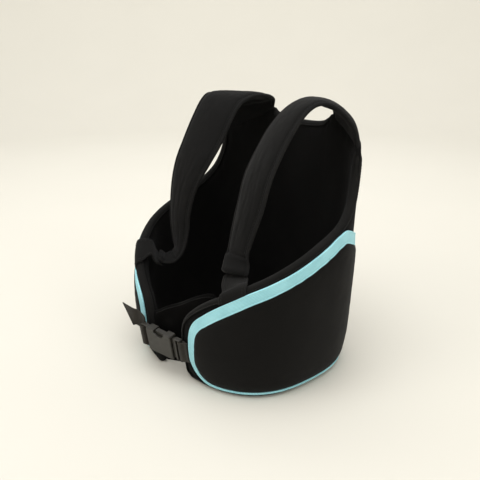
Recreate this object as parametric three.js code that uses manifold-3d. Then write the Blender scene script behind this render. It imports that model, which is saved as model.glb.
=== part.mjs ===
// Rib protector vest, standing by itself as it is kept when not worn.
// Millimetres, +Z up. The wearer's front faces -Y and the wearer's left is +X.
// The base of the padded wall stands on z = 0.
import * as THREE from "three";
import { mergeVertices } from "three/addons/utils/BufferGeometryUtils.js";
import Module from "manifold-3d";

const wasm = await Module();
wasm.setup();

// ------------------------------------------------------------------ sizes
const FRAME_Y = 15.125; // puts the middle of the whole object's depth at y = 0
const GAP = 0.5; // clearance between neighbouring pieces

// Plan of the wall: an oval with a flattened front and back.
const ROUNDNESS = 2.63;
const REF = { side: 159, front: 128, back: 123.5 }; // oval that "q" is measured along
// Outer face of the padded wall at each height: half width, and depth to front and back.
const LEVELS = [
  { z: 0, side: 142.5, front: 116.0, back: 117.2 },
  { z: 60, side: 151.7, front: 124.3, back: 119.6 },
  { z: 130, side: 155.5, front: 123.4, back: 119.8 },
  { z: 220, side: 158.5, front: 118.3, back: 119.7 },
  { z: 265, side: 160.6, front: 117.0, back: 120.9 }, // spreads a little behind the arm openings
  { z: 300, side: 162.0, front: 116.0, back: 121.6 },
  { z: 380, side: 162.5, front: 116.0, back: 121.4 },
];

// Positions round the wall are "q", the distance along the oval from the middle of the front
// (about 471 mm at the middle of the back). Left and right share one top edge, but for LEFT_LIFT.
const WALL_THICK = 11; // padded wall
const WING_FRONT = { left: 31, right: 38 }; // front edges of the wings
const FLAP_THICK = 4.5; // thin flap that carries on from the inside of the right wing
const FLAP_END_Q = -64; // it ends behind the left wing
const FLAP_LOW = 5; // height of its lower edge
const RIM = [
  { q: 38, z: 84 }, // front corner
  { q: 50, z: 94 },
  { q: 69, z: 111 },
  { q: 87, z: 125 },
  { q: 103, z: 136 },
  { q: 118, z: 145.5 },
  { q: 134, z: 154.5 },
  { q: 162, z: 167 },
  { q: 190, z: 179 },
  { q: 210, z: 187 },
  { q: 243, z: 200.5 },
  { q: 268, z: 211.5 },
  { q: 280, z: 218.5 }, // arm opening starts to climb
  { q: 292, z: 227.5 },
  { q: 301, z: 236.5 },
  { q: 308, z: 247 },
  { q: 314, z: 259.5 },
  { q: 318, z: 272.5 },
  { q: 320.5, z: 286 },
  { q: 323, z: 298.5 }, // outer end of the strap seam
  { q: 324, z: 301 },
  { q: 348, z: 309.6 },
  { q: 372, z: 318.2 },
  { q: 396, z: 326.8 },
  { q: 411, z: 332.2 },
  { q: 412, z: 332.5 }, // inner end of the strap seam
  { q: 419, z: 326.8 },
  { q: 429, z: 321 },
  { q: 443, z: 318.7 },
  { q: 460, z: 318 },
  { q: 472, z: 318 }, // middle of the neckline
];
// The left wing's upper front edge swells up higher than the right one's.
const LEFT_LIFT = [
  { q: 31, lift: 3 },
  { q: 38, lift: 9.5 },
  { q: 52, lift: 10 },
  { q: 70, lift: 8 },
  { q: 87, lift: 5.5 },
  { q: 103, lift: 2.5 },
  { q: 118, lift: 0.5 },
  { q: 134, lift: 0 },
];
const FLAP_RIM = [
  { q: -64, z: 125 },
  { q: -45, z: 118 },
  { q: -30, z: 111 },
  { q: -10, z: 99 },
  { q: 10, z: 89 },
  { q: 25, z: 80 },
  { q: 38, z: 73 },
];
const CORNER_TOP = 16; // rounding of the front corners of the wings
const CORNER_LOW = { left: 15, right: 6 };
// The right wing stands a little further forward, most of all at its foot, which is drawn in towards the middle
// by the buckle. Its flap turns in behind the left wing.
const RIGHT_WING = [
  { q: -64, forward: -27, footForward: 0, footIn: 0 },
  { q: -45, forward: -20, footForward: 0, footIn: 0 },
  { q: -25, forward: -14, footForward: 0, footIn: 2 },
  { q: -5, forward: -6, footForward: 0, footIn: 6 },
  { q: 20, forward: 4, footForward: 1, footIn: 12 },
  { q: 38, forward: 8, footForward: 4, footIn: 17 },
  { q: 50, forward: 8.3, footForward: 4, footIn: 17 },
  { q: 75, forward: 8.5, footForward: 3.5, footIn: 13 },
  { q: 110, forward: 5, footForward: 3, footIn: 6 },
  { q: 150, forward: 0, footForward: 0, footIn: 0 },
  { q: 160, forward: 0, footForward: 0, footIn: 0 },
];
const FOOT_HEIGHT = 75; // the foot's share fades out at this height

// Trim band: outer edge of its loop on the wall, and its width along the loop.
const TRIM_LOW = 5.5; // height of its lower edge
const TRIM_FRONT_Q = 50.5; // its front edge
const TRIM_LOW_R = 38; // lower front corner
const TRIM_RISE = { from: 64, control: 88, toQ: 70 }; // upper front corner
const TRIM_TOP = [
  { q: 70, z: 103 },
  { q: 87, z: 116.3 },
  { q: 103, z: 127.4 },
  { q: 118.5, z: 137.2 },
  { q: 134, z: 146.4 },
  { q: 161.6, z: 158.9 },
  { q: 190, z: 170.6 },
  { q: 210, z: 178.6 },
  { q: 243.5, z: 192.2 },
  { q: 262, z: 201.3 },
  { q: 278, z: 205 },
  { q: 290, z: 202 },
  { q: 304, z: 196.5 },
  { q: 318, z: 191 },
  { q: 345, z: 184 },
  { q: 380, z: 179.5 },
  { q: 420, z: 177.5 },
  { q: 471, z: 177 },
];
// "part" runs from the middle of the back along the bottom (0) to the middle of the back along the top (1).
const TRIM_WIDTH = [
  { part: 0, w: 3.4 },
  { part: 0.39, w: 3.6 },
  { part: 0.425, w: 6 },
  { part: 0.45, w: 9.4 },
  { part: 0.475, w: 12.2 },
  { part: 0.505, w: 13.6 },
  { part: 0.54, w: 14 },
  { part: 0.65, w: 14.8 },
  { part: 0.8, w: 16.5 },
  { part: 1, w: 16.5 },
];
const TRIM_H = { outer: 1.9, crown: 2.7, inner: 3.5 }; // height above the wall
const PANEL_H = { back: 0.75, edge: 3.2, middle: 5.2 }; // height above the wall
const PANEL_SHOULDER = 9; // width of the panel's rounded border

// Shoulder straps: inner and outer edge of the strap's middle surface, from the front end to the back seam.
const STRAP_THICK = 9;
const STRAP = [
  { inX: 77, inY: -90, inZ: 158.5, outX: 107, outY: -74, outZ: 158.5, thick: 5.5, bow: 0 }, // front end, on its tab
  { inX: 65.4, inY: -76.2, inZ: 166, outX: 98.6, outY: -65.8, outZ: 167, thick: 6, bow: 0.5 },
  { inX: 57, inY: -64.5, inZ: 178, outX: 95, outY: -65, outZ: 178, thick: 7, bow: 1 },
  { inX: 52, inY: -53, inZ: 206, outX: 97, outY: -57, outZ: 204, thick: 8.5, bow: 1.5 },
  { inX: 48, inY: -41, inZ: 234, outX: 100, outY: -47, outZ: 232, thick: 9, bow: 2 },
  { inX: 42.5, inY: -26, inZ: 264, outX: 101.5, outY: -38, outZ: 262, thick: 9, bow: 2 },
  { inX: 40.5, inY: -7, inZ: 291, outX: 102, outY: -25, outZ: 288, thick: 9, bow: 2 },
  { inX: 42, inY: 14, inZ: 319, outX: 105, outY: -4, outZ: 322, thick: 9, bow: 2 },
  { inX: 46, inY: 36, inZ: 340, outX: 109, outY: 14, outZ: 344, thick: 9, bow: 2 }, // top of the shoulder
  { inX: 47, inY: 58, inZ: 348.5, outX: 113, outY: 27, outZ: 351, thick: 9, bow: 1.5 },
  { inX: 48.5, inY: 80, inZ: 350.5, outX: 117.5, outY: 43.5, outZ: 349, thick: 9, bow: 1.5 },
  { inX: 52, inY: 99, inZ: 347.5, outX: 123.5, outY: 60.5, outZ: 337.5, thick: 9, bow: 2.5 },
  { inX: 57, inY: 111, inZ: 341.5, outX: 131, outY: 71.5, outZ: 320.5, thick: 9, bow: 4 },
];
// The right strap is let out further: its front end hangs lower inside the wing and turns up to its tab.
const STRAP_RIGHT_END = [
  { inX: 83.6, inY: -86.6, inZ: 127.2, outX: 110, outY: -68.4, outZ: 129.8, thick: 5.5, bow: 0 },
  { inX: 81.5, inY: -78.6, inZ: 119.6, outX: 107.9, outY: -60.4, outZ: 120.8, thick: 5.5, bow: 0 },
  { inX: 70.6, inY: -67.8, inZ: 121.8, outX: 102.6, outY: -55, outZ: 124, thick: 6, bow: 0.3 },
  { inX: 61, inY: -60.6, inZ: 133.6, outX: 95.5, outY: -50.5, outZ: 132.6, thick: 6.5, bow: 0.5 },
  { inX: 56.6, inY: -55.7, inZ: 149.6, outX: 93.8, outY: -53.3, outZ: 145, thick: 7, bow: 1 },
  { inX: 54.3, inY: -52, inZ: 170.4, outX: 94.6, outY: -55, outZ: 164.5, thick: 7.5, bow: 1.2 },
  { inX: 52.6, inY: -50.6, inZ: 192.9, outX: 96, outY: -54.5, outZ: 184.5, thick: 8.2, bow: 1.5 },
];
const STRAP_RIGHT_FROM = 4; // the rows of STRAP that follow
const SEAM = { inQ: 411, inZ: 332.2, outQ: 324, outZ: 301, bow: 5.5 }; // where the strap meets the back panel

// Anchor tabs: flat tongues from the trim seam over the rim of the wing.
const TAB_WIDTH = 34;
const TAB_THICK = 2.6;
const TAB_Q = { left: 116.5, right: 105 };
// On the wall the tab follows the slope of the rim: height above the rim and above the wall's face, and its bow across.
const TAB_ON_WALL = [
  { above: -6.2, h: 2.2, bow: 2.2 },
  { above: -1.5, h: 2.2, bow: 2.2 },
  { above: 2.6, h: -0.5, bow: 2.2 },
  { above: 3.4, h: -7.5, bow: 1.8 },
];
// Beyond the wall: middle of the tab and the direction across it.
const TAB_FREE = [
  { x: 98.5, y: -88.2, z: 149.6, wx: 0.82, wy: 0.48, wz: 0.26, bow: 0.8 },
  { x: 91, y: -80.5, z: 152.4, wx: 0.89, wy: 0.43, wz: 0.12, bow: 0.3 },
  { x: 84.2, y: -73.2, z: 157, wx: 0.94, wy: 0.34, wz: 0.02, bow: 0 },
];
const TAB_FREE_RIGHT = [
  { x: 99.5, y: -88.5, z: 139.5, wx: 0.8, wy: 0.5, wz: 0.36, bow: 0.8 },
  { x: 97.5, y: -83, z: 126, wx: 0.82, wy: 0.54, wz: 0.2, bow: 0.3 },
  { x: 92.5, y: -74, z: 114, wx: 0.83, wy: 0.55, wz: 0.06, bow: 0 },
];

// Buckle: its own axes are u along its length, v up its face and w out of its face.
const BUCKLE_AT = { x: 1.6, y: -139.5, z: 44.4 };
const BUCKLE_TURN = 13; // degrees about the vertical
const BUCKLE_LEAN = 9; // degrees, top edge forward
const FEMALE = { half: 22.8, tall: 36.4, thick: 12, corner: 3, bevel: 0.9 };
const LADDER = { from: -36.5, to: -22.2, slotFrom: -32.5, slotTo: -26, tall: 35.4, slotTall: 31.6, w0: -9.2, w1: -3.6 };
const CAVITY = { from: -17, v: 15.2, w0: -9.6, w1: -2.6 };
const WINDOW = [
  { u: -8, v: 20 },
  { u: -8, v: 13.6 },
  { u: -2, v: 11 },
  { u: 6, v: 11 },
  { u: 11, v: 15 },
  { u: 11, v: 20 },
];
const MALE = { neckFrom: 23.4, neckTo: 27, from: 27, to: 38.8, slotFrom: 30.6, slotTo: 34.9, tall: 35, slotTall: 31.6, w0: -8.4, w1: -2.2 };
const PRONG = [
  { u: 24, v: 14.4 },
  { u: 10.2, v: 14.4 },
  { u: 9.2, v: 16.8 },
  { u: -6.6, v: 17.4 },
  { u: -7.4, v: 14.2 },
  { u: -14, v: 10 },
  { u: -14, v: 7.6 },
  { u: -6, v: 9 },
  { u: 24, v: 10.4 },
];
const GUIDE = { from: -11, to: 24, v: 2.6 };
const PRONG_W = { w0: -9.0, w1: -3.2 };
const WEBBING = { wide: 30, thick: 1.6 };
// Section of each webbing across its width: outline, and the hole for the bar that it wraps.
const WEB_LEFT = {
  outline: [
    { u: 47.9, w: -6.7 },
    { u: 47.9, w: -4.3 },
    { u: 43, w: -3.9 },
    { u: 40.6, w: -2.5 },
    { u: 39.0, w: -1.8 },
    { u: 34.8, w: -1.8 },
    { u: 33.1, w: -3.0 },
    { u: 33.1, w: -6.9 },
    { u: 34.8, w: -8.1 },
    { u: 37.4, w: -8.1 },
    { u: 42.6, w: -7.3 },
  ],
  bar: { u0: 34.45, u1: 39.2, w0: -6.85, w1: -3.15 },
};
const MALE_BAR = { w0: -6.45, w1: -3.55 };
const WEB_RIGHT = {
  path: [
    { u: -34.5, w: -13.3 },
    { u: -32.6, w: -12.5 },
    { u: -30.4, w: -10.9 },
    { u: -29.4, w: -8.4 },
    { u: -29.4, w: -5.2 },
    { u: -31.2, w: -2.4 },
    { u: -36.6, w: -2.4 },
    { u: -38.0, w: -4.6 },
    { u: -38.0, w: -7.2 },
  ],
};
// Loose tail: middle line from the ladder end, half widths above and below it.
const TAIL = [
  { u: -34.6, v: 9.5, w: -11.1, up: 14.5, down: 14.2 },
  { u: -38.6, v: 13.4, w: -10.9, up: 15, down: 14.5 },
  { u: -44, v: 18, w: -9.6, up: 15, down: 14.5 },
  { u: -50, v: 21, w: -6.6, up: 15, down: 12.5 },
];
const TAIL_TIP = { u: -70.5, v: 38.5, w: -6.8, lowU: -52, lowV: 9, lowW: -3.2 };

// ------------------------------------------------------------------ helpers
const V = (x, y, z) => new THREE.Vector3(x, y, z);
const clamp01 = (t) => Math.min(Math.max(t, 0), 1);

// A smooth curve through two columns of a table, without overshoot between the rows.
function through(rows, xName, yName) {
  const X = rows.map((r) => r[xName]);
  const Y = rows.map((r) => r[yName]);
  const n = X.length;
  const d = X.slice(1).map((x, i) => (Y[i + 1] - Y[i]) / (x - X[i]));
  const m = X.map((_, i) => {
    if (i === 0) return d[0];
    if (i === n - 1) return d[n - 2];
    return d[i - 1] * d[i] <= 0 ? 0 : (2 * d[i - 1] * d[i]) / (d[i - 1] + d[i]);
  });
  return (x) => {
    let i = 0;
    while (i < n - 2 && x > X[i + 1]) i++;
    const h = X[i + 1] - X[i];
    const t = clamp01((x - X[i]) / h);
    const t2 = t * t;
    const t3 = t2 * t;
    return (
      (2 * t3 - 3 * t2 + 1) * Y[i] +
      (t3 - 2 * t2 + t) * h * m[i] +
      (3 * t2 - 2 * t3) * Y[i + 1] +
      (t3 - t2) * h * m[i + 1]
    );
  };
}

// Closed skin over a row of rings that all have the same number of points.
function skin(rings, endless = false) {
  const m = rings[0].length;
  const n = rings.length;
  const position = [];
  let index = [];
  for (const ring of rings) for (const p of ring) position.push(p.x, p.y, p.z);
  for (let i = 0; i < (endless ? n : n - 1); i++)
    for (let j = 0; j < m; j++) {
      const a = i * m + j;
      const b = i * m + ((j + 1) % m);
      const c = ((i + 1) % n) * m + j;
      const d = ((i + 1) % n) * m + ((j + 1) % m);
      index.push(a, b, d, a, d, c);
    }
  if (!endless)
    for (const [start, turned] of [[0, true], [(n - 1) * m, false]])
      for (let j = 0; j < (m - 1) / 2; j++) {
        const a = start + j;
        const b = start + j + 1;
        const c = start + m - 2 - j;
        const d = start + m - 1 - j;
        const tris = b === c ? [[a, b, d]] : j + 1 > m - 2 - j ? [] : [[a, b, c], [a, c, d]];
        for (const [p, q, r] of tris) turned ? index.push(p, r, q) : index.push(p, q, r);
      }
  return outward(position, index);
}

// Indexed geometry whose faces point out of the solid.
function outward(position, index) {
  let six = 0;
  const at3 = (i) => V(position[3 * i], position[3 * i + 1], position[3 * i + 2]);
  for (let i = 0; i < index.length; i += 3)
    six += at3(index[i]).dot(at3(index[i + 1]).cross(at3(index[i + 2])));
  if (six < 0)
    for (let i = 0; i < index.length; i += 3) [index[i + 1], index[i + 2]] = [index[i + 2], index[i + 1]];
  const g = new THREE.BufferGeometry();
  g.setAttribute("position", new THREE.Float32BufferAttribute(position, 3));
  g.setIndex(index);
  g.computeVertexNormals();
  return g;
}

// Joins and cuts.
function solid(geometry) {
  const g = geometry.clone();
  g.deleteAttribute("normal");
  g.deleteAttribute("uv");
  const merged = mergeVertices(g, 1e-4);
  return new wasm.Manifold(
    new wasm.Mesh({
      numProp: 3,
      vertProperties: new Float32Array(merged.attributes.position.array),
      triVerts: new Uint32Array(merged.index.array),
    }),
  );
}
function geometryOf(made) {
  const mesh = made.getMesh();
  const g = new THREE.BufferGeometry();
  g.setAttribute("position", new THREE.Float32BufferAttribute(mesh.vertProperties, 3));
  g.setIndex(Array.from(mesh.triVerts));
  g.computeVertexNormals();
  return g;
}
const block = (u0, u1, v0, v1, w0, w1) =>
  new THREE.BoxGeometry(u1 - u0, v1 - v0, w1 - w0).translate((u0 + u1) / 2, (v0 + v1) / 2, (w0 + w1) / 2);
const outlineShape = (rows, xName, yName, mirror = 1) =>
  new THREE.Shape(rows.map((r) => new THREE.Vector2(r[xName], mirror * r[yName])));

// ------------------------------------------------------------------ the wall's surface
const sideAt = through(LEVELS, "z", "side");
const frontAt = through(LEVELS, "z", "front");
const backAt = through(LEVELS, "z", "back");
const sharedRimAt = through(RIM, "q", "z");
const liftAt = through(LEFT_LIFT, "q", "lift");
const rimAt = (hand, q) => sharedRimAt(q) + (hand > 0 ? liftAt(q) : 0);
const flapRimAt = through(FLAP_RIM, "q", "z");
const forwardAt = through(RIGHT_WING, "q", "forward");
const footForwardAt = through(RIGHT_WING, "q", "footForward");
const footInAt = through(RIGHT_WING, "q", "footIn");

const TURN_STEPS = 2880;
const turns = [];
{
  let s = 0;
  let last = null;
  for (let i = 0; i <= TURN_STEPS; i++) {
    const t = (Math.PI * i) / TURN_STEPS;
    const c = Math.cos(t);
    const x = Math.pow(Math.abs(Math.sin(t)), 2 / ROUNDNESS);
    const y = -Math.sign(c) * Math.pow(Math.abs(c), 2 / ROUNDNESS);
    const p = [REF.side * x, (y < 0 ? REF.front : REF.back) * y];
    if (last) s += Math.hypot(p[0] - last[0], p[1] - last[1]);
    last = p;
    turns.push({ s, x, y });
  }
}
const HALF = turns[TURN_STEPS].s; // from the middle of the front to the middle of the back

// Unit plan position at distance q from the middle of the front.
function plan(q) {
  const s = Math.min(Math.max(q, 0), HALF);
  let lo = 0;
  let hi = TURN_STEPS;
  while (hi - lo > 1) {
    const mid = (lo + hi) >> 1;
    if (turns[mid].s <= s) lo = mid;
    else hi = mid;
  }
  const t = (s - turns[lo].s) / (turns[hi].s - turns[lo].s);
  return {
    x: turns[lo].x + t * (turns[hi].x - turns[lo].x),
    y: turns[lo].y + t * (turns[hi].y - turns[lo].y),
  };
}

// Point on the wall: hand +1 is the left side and -1 the right, h is the height above the wall's outer face.
// A negative q on the right side carries on past the middle of the front.
function onWall(hand, q, z, h = 0) {
  const p = plan(Math.abs(q));
  const A = sideAt(z);
  const B = p.y < 0 ? frontAt(z) : backAt(z);
  let nx = Math.pow(Math.abs(p.x), ROUNDNESS - 1) / A;
  let ny = (Math.sign(p.y) * Math.pow(Math.abs(p.y), ROUNDNESS - 1)) / B;
  const n = Math.hypot(nx, ny);
  nx /= n;
  ny /= n;
  const across = q < 0 ? -hand : hand;
  const foot = hand < 0 && q < 150 ? clamp01(1 - z / FOOT_HEIGHT) : 0;
  const forward = hand < 0 && q < 150 ? forwardAt(q) + foot * footForwardAt(q) : 0;
  const shift = foot > 0 ? foot * footInAt(q) : 0;
  return V(across * (A * p.x + nx * h) + shift, B * p.y + ny * h - forward + FRAME_Y, z);
}

// ------------------------------------------------------------------ padded wall
const roundOff = (d, r) => (d >= r ? 0 : r - Math.sqrt(Math.max(r * r - (r - d) * (r - d), 0)));
function wallRing(hand, q, isFlap = false) {
  const d = q - (isFlap ? FLAP_END_Q : hand > 0 ? WING_FRONT.left : WING_FRONT.right);
  const top = (isFlap ? flapRimAt(q) : rimAt(hand, q)) - roundOff(d, CORNER_TOP);
  const low = (isFlap ? FLAP_LOW : 0) + roundOff(d, hand > 0 ? CORNER_LOW.left : CORNER_LOW.right);
  const thick = isFlap ? FLAP_THICK : WALL_THICK;
  const face = thick - WALL_THICK; // the flap lies flush with the wing's inside
  const r = Math.min(5, thick * 0.45);
  const foot = 2.5;
  const rows = [0.16, 0.34, 0.54, 0.78, 1];
  const ring = [];
  const add = (h, z) => ring.push(onWall(hand, q, z, face + h));
  add(-1.2, low);
  add(0, low + foot);
  for (const t of rows) add(0, low + foot + t * (top - r - low - foot));
  add(-thick * 0.17, top - r * 0.28);
  add(-thick * 0.5, top);
  add(-thick * 0.83, top - r * 0.28);
  for (const t of [1, 0.6, 0.28]) add(-thick, low + foot + t * (top - r - low - foot));
  add(-thick, low + foot);
  add(-thick + 1.2, low);
  return ring;
}
// Columns round the wall: close together at the corners and along the arm opening.
const steps = (from, to, step) => {
  const n = Math.max(1, Math.round(Math.abs(to - from) / Math.abs(step)));
  return Array.from({ length: n }, (_, i) => from + ((to - from) * i) / n);
};
const cornerIn = [0, 1, 2.5, 5, 8, 12];
const armRows = RIM.filter((r) => r.q >= 268 && r.q < 323);
const armColumns = armRows.flatMap((r, i) => [r.q, (r.q + (armRows[i + 1] ?? { q: 323 }).q) / 2]);
const sideColumns = [...steps(54, 268, 14), ...armColumns, 323, ...steps(324, HALF, 14)];
const panelSide = [...steps(54, 268, 14), ...steps(268, 324, 11.2), ...steps(324, HALF, 14)];
const wallRings = [
  ...[...cornerIn, 17].map((d) => wallRing(1, WING_FRONT.left + d)),
  ...sideColumns.map((q) => wallRing(1, q)),
  wallRing(1, HALF),
  ...[...sideColumns].reverse().map((q) => wallRing(-1, q)),
  ...[...cornerIn].reverse().map((d) => wallRing(-1, WING_FRONT.right + d)),
  ...steps(WING_FRONT.right - 0.8, FLAP_END_Q + 12, -10).map((q) => wallRing(-1, q, true)),
  ...[...cornerIn].reverse().map((d) => wallRing(-1, FLAP_END_Q + d, true)),
];

// ------------------------------------------------------------------ trim band and rib panel
const trimTopAt = through(TRIM_TOP, "q", "z");
const trimWidthAt = through(TRIM_WIDTH, "part", "w");
const HALF_LOOP = 72;
const loopPath = new THREE.Path()
  .moveTo(HALF, TRIM_LOW)
  .lineTo(TRIM_FRONT_Q + TRIM_LOW_R, TRIM_LOW)
  .absarc(TRIM_FRONT_Q + TRIM_LOW_R, TRIM_LOW + TRIM_LOW_R, TRIM_LOW_R, -Math.PI / 2, -Math.PI, true)
  .lineTo(TRIM_FRONT_Q, TRIM_RISE.from)
  .quadraticCurveTo(TRIM_FRONT_Q, TRIM_RISE.control, TRIM_RISE.toQ, trimTopAt(TRIM_RISE.toQ))
  .splineThru(steps(TRIM_RISE.toQ + 8, HALF, 10).concat(HALF).map((q) => new THREE.Vector2(q, trimTopAt(q))));
const outerLoop = loopPath.getSpacedPoints(HALF_LOOP);
const inward = outerLoop.map((p, i) => {
  const a = outerLoop[Math.max(i - 1, 0)];
  const b = outerLoop[Math.min(i + 1, HALF_LOOP)];
  const t = b.clone().sub(a).normalize();
  return i === 0 || i === HALF_LOOP ? new THREE.Vector2(0, i === 0 ? 1 : -1) : new THREE.Vector2(t.y, -t.x);
});
const loopAt = (i, extra) =>
  outerLoop[i].clone().addScaledVector(inward[i], trimWidthAt(i / HALF_LOOP) * extra.share + extra.add);

function trimRing(hand, i) {
  const p = (share, h) => {
    const c = loopAt(i, { share, add: 0 });
    return onWall(hand, c.x, c.y, h);
  };
  return [
    p(0, GAP),
    p(0, TRIM_H.outer),
    p(0.16, TRIM_H.crown),
    p(0.84, TRIM_H.inner),
    p(1, TRIM_H.inner - 0.5),
    p(1, GAP),
  ];
}
const trimRings = [];
for (let i = 0; i <= HALF_LOOP; i++) trimRings.push(trimRing(1, i));
for (let i = HALF_LOOP - 1; i > 0; i--) trimRings.push(trimRing(-1, i));

// Border of the panel, just inside the trim, as its lower and upper height at each q.
const border = outerLoop.map((_, i) => loopAt(i, { share: 1, add: 0.7 }));
const foremost = border.reduce((best, p, i) => (p.x < border[best].x ? i : best), 0);
const frontQ = border[foremost].x;
function heightOn(points, q) {
  for (let i = 0; i < points.length - 1; i++) {
    const a = points[i];
    const b = points[i + 1];
    if (q >= a.x && q <= b.x) return b.x === a.x ? a.y : a.y + ((q - a.x) / (b.x - a.x)) * (b.y - a.y);
  }
  return points[q < points[0].x ? 0 : points.length - 1].y;
}
const rising = (points) => {
  const kept = [];
  for (const p of points) if (!kept.length || p.x > kept[kept.length - 1].x + 1e-6) kept.push(p);
  return kept;
};
const lowBorder = rising(border.slice(0, foremost + 1).reverse());
const topBorder = rising(border.slice(foremost));
function panelRing(hand, q) {
  const low = heightOn(lowBorder, q);
  const top = heightOn(topBorder, q);
  const shoulder = Math.min(PANEL_SHOULDER, (top - low) * 0.25);
  const swell = clamp01((q - frontQ) / 14);
  const mid = PANEL_H.edge + (PANEL_H.middle - PANEL_H.edge) * Math.sqrt(swell * (2 - swell));
  const near = PANEL_H.edge + (mid - PANEL_H.edge) * 0.7;
  const ring = [];
  const add = (z, h) => ring.push(onWall(hand, q, z, h));
  add(low, PANEL_H.back);
  add(low, PANEL_H.edge - 0.6);
  add(low + shoulder * 0.25, near);
  add(low + shoulder, mid);
  for (const t of [0.34, 0.67]) add(low + shoulder + t * (top - low - 2 * shoulder), mid);
  add(top - shoulder, mid);
  add(top - shoulder * 0.25, near);
  add(top, PANEL_H.edge - 0.6);
  add(top, PANEL_H.back);
  for (const t of [0.75, 0.5, 0.25]) add(low + t * (top - low), PANEL_H.back);
  return ring;
}
const panelColumns = [0, 0.8, 2.2, 4.5, 7.5, 11.5, 17, 24, 32].map((d) => frontQ + d).concat(panelSide.filter((q) => q > frontQ + 37));
const panelRings = [
  ...panelColumns.map((q) => panelRing(1, q)),
  panelRing(1, HALF),
  ...[...panelColumns].reverse().map((q) => panelRing(-1, q)),
];

// ------------------------------------------------------------------ straps and tabs
// Section of a padded strip: position across it and share of the half thickness.
const PADDED = [
  { s: -1, t: 0.3 },
  { s: -0.94, t: 0.78 },
  { s: -0.78, t: 1 },
  { s: 0, t: 1 },
  { s: 0.78, t: 1 },
  { s: 0.94, t: 0.78 },
  { s: 1, t: 0.3 },
];
const FLAT = [
  { s: -1, t: 1 },
  { s: -0.5, t: 1 },
  { s: 0, t: 1 },
  { s: 0.5, t: 1 },
  { s: 1, t: 1 },
];
// Ring of a strip between its two edges: up is the side that faces out.
function stripRing(inner, outer, up, thick, bow, section) {
  const face = (sign) =>
    section.map(({ s, t }) =>
      inner
        .clone()
        .lerp(outer, (s + 1) / 2)
        .addScaledVector(up, bow * (1 - s * s) + (sign * t * thick) / 2),
    );
  return [...face(1), ...face(-1).reverse()];
}
function strip(innerPoints, outerPoints, thickOf, bowOf, count, section) {
  const inner = new THREE.CatmullRomCurve3(innerPoints);
  const outer = new THREE.CatmullRomCurve3(outerPoints);
  const rings = [];
  for (let i = 0; i <= count; i++) {
    const t = i / count;
    const a = inner.getPoint(t);
    const b = outer.getPoint(t);
    const along = inner.getTangent(t).add(outer.getTangent(t));
    const up = b.clone().sub(a).cross(along).normalize();
    rings.push(stripRing(a, b, up, thickOf(t), bowOf(t), section));
  }
  return rings;
}
const mirrored = (rings) => rings.map((ring) => ring.map((p) => V(-p.x, p.y, p.z)));

function strapRings(table, count) {
  const inner = table.map((r) => V(r.inX, r.inY + FRAME_Y, r.inZ));
  const outer = table.map((r) => V(r.outX, r.outY + FRAME_Y, r.outZ));
  inner.push(onWall(1, SEAM.inQ, SEAM.inZ + GAP, -WALL_THICK / 2));
  outer.push(onWall(1, SEAM.outQ, SEAM.outZ + GAP, -WALL_THICK / 2));
  const rows = [...table, { thick: STRAP_THICK, bow: SEAM.bow }].map((r, i) => ({ ...r, t: i / table.length }));
  return strip(inner, outer, through(rows, "t", "thick"), through(rows, "t", "bow"), count, PADDED);
}
const leftStrap = strapRings(STRAP, 26);
const rightStrap = mirrored(strapRings([...STRAP_RIGHT_END, ...STRAP.slice(STRAP_RIGHT_FROM)], 30));

function tabRings(hand) {
  const middleQ = hand > 0 ? TAB_Q.left : TAB_Q.right;
  const free = hand > 0 ? TAB_FREE : TAB_FREE_RIGHT;
  const edge = (sign) => [
    ...TAB_ON_WALL.map(({ above, h }) => {
      const q = middleQ + (sign * TAB_WIDTH) / 2;
      return onWall(hand, q, rimAt(hand, q) + above, h);
    }),
    ...free.map((r) =>
      V(hand * r.x, r.y + FRAME_Y, r.z).addScaledVector(V(hand * r.wx, r.wy, r.wz).normalize(), (sign * TAB_WIDTH) / 2),
    ),
  ];
  const rows = [...TAB_ON_WALL, ...free];
  const bowAt = through(rows.map((r, i) => ({ t: i / (rows.length - 1), bow: r.bow })), "t", "bow");
  return strip(edge(-hand), edge(hand), () => TAB_THICK, bowAt, 13, FLAT);
}

// ------------------------------------------------------------------ buckle and webbing, in the buckle's own axes
const buckle = new THREE.Group();
{
  const turn = THREE.MathUtils.degToRad(BUCKLE_TURN);
  const lean = THREE.MathUtils.degToRad(BUCKLE_LEAN);
  const u = V(Math.cos(turn), Math.sin(turn), 0);
  const out = V(Math.sin(turn), -Math.cos(turn), 0);
  const up = V(0, 0, 1);
  const v = up.clone().multiplyScalar(Math.cos(lean)).addScaledVector(out, Math.sin(lean));
  const w = out.clone().multiplyScalar(Math.cos(lean)).addScaledVector(up, -Math.sin(lean));
  buckle.quaternion.setFromRotationMatrix(new THREE.Matrix4().makeBasis(u, v, w));
  buckle.position.set(BUCKLE_AT.x, BUCKLE_AT.y + FRAME_Y, BUCKLE_AT.z);
}
// Plate with rounded corners and bevelled faces.
function plate(u0, u1, tall, w0, w1, corner, bevel) {
  const a = u0 + bevel;
  const b = u1 - bevel;
  const t = tall / 2 - bevel;
  const r = Math.max(corner - bevel, 0.3);
  const s = new THREE.Shape()
    .moveTo(a + r, -t)
    .lineTo(b - r, -t)
    .absarc(b - r, -t + r, r, -Math.PI / 2, 0, false)
    .lineTo(b, t - r)
    .absarc(b - r, t - r, r, 0, Math.PI / 2, false)
    .lineTo(a + r, t)
    .absarc(a + r, t - r, r, Math.PI / 2, Math.PI, false)
    .lineTo(a, -t + r)
    .absarc(a + r, -t + r, r, Math.PI, 1.5 * Math.PI, false);
  return new THREE.ExtrudeGeometry(s, {
    depth: w1 - w0 - 2 * bevel,
    bevelEnabled: true,
    bevelThickness: bevel,
    bevelSize: bevel,
    bevelSegments: 1,
    curveSegments: 3,
  }).translate(0, 0, w0 + bevel);
}
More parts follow.
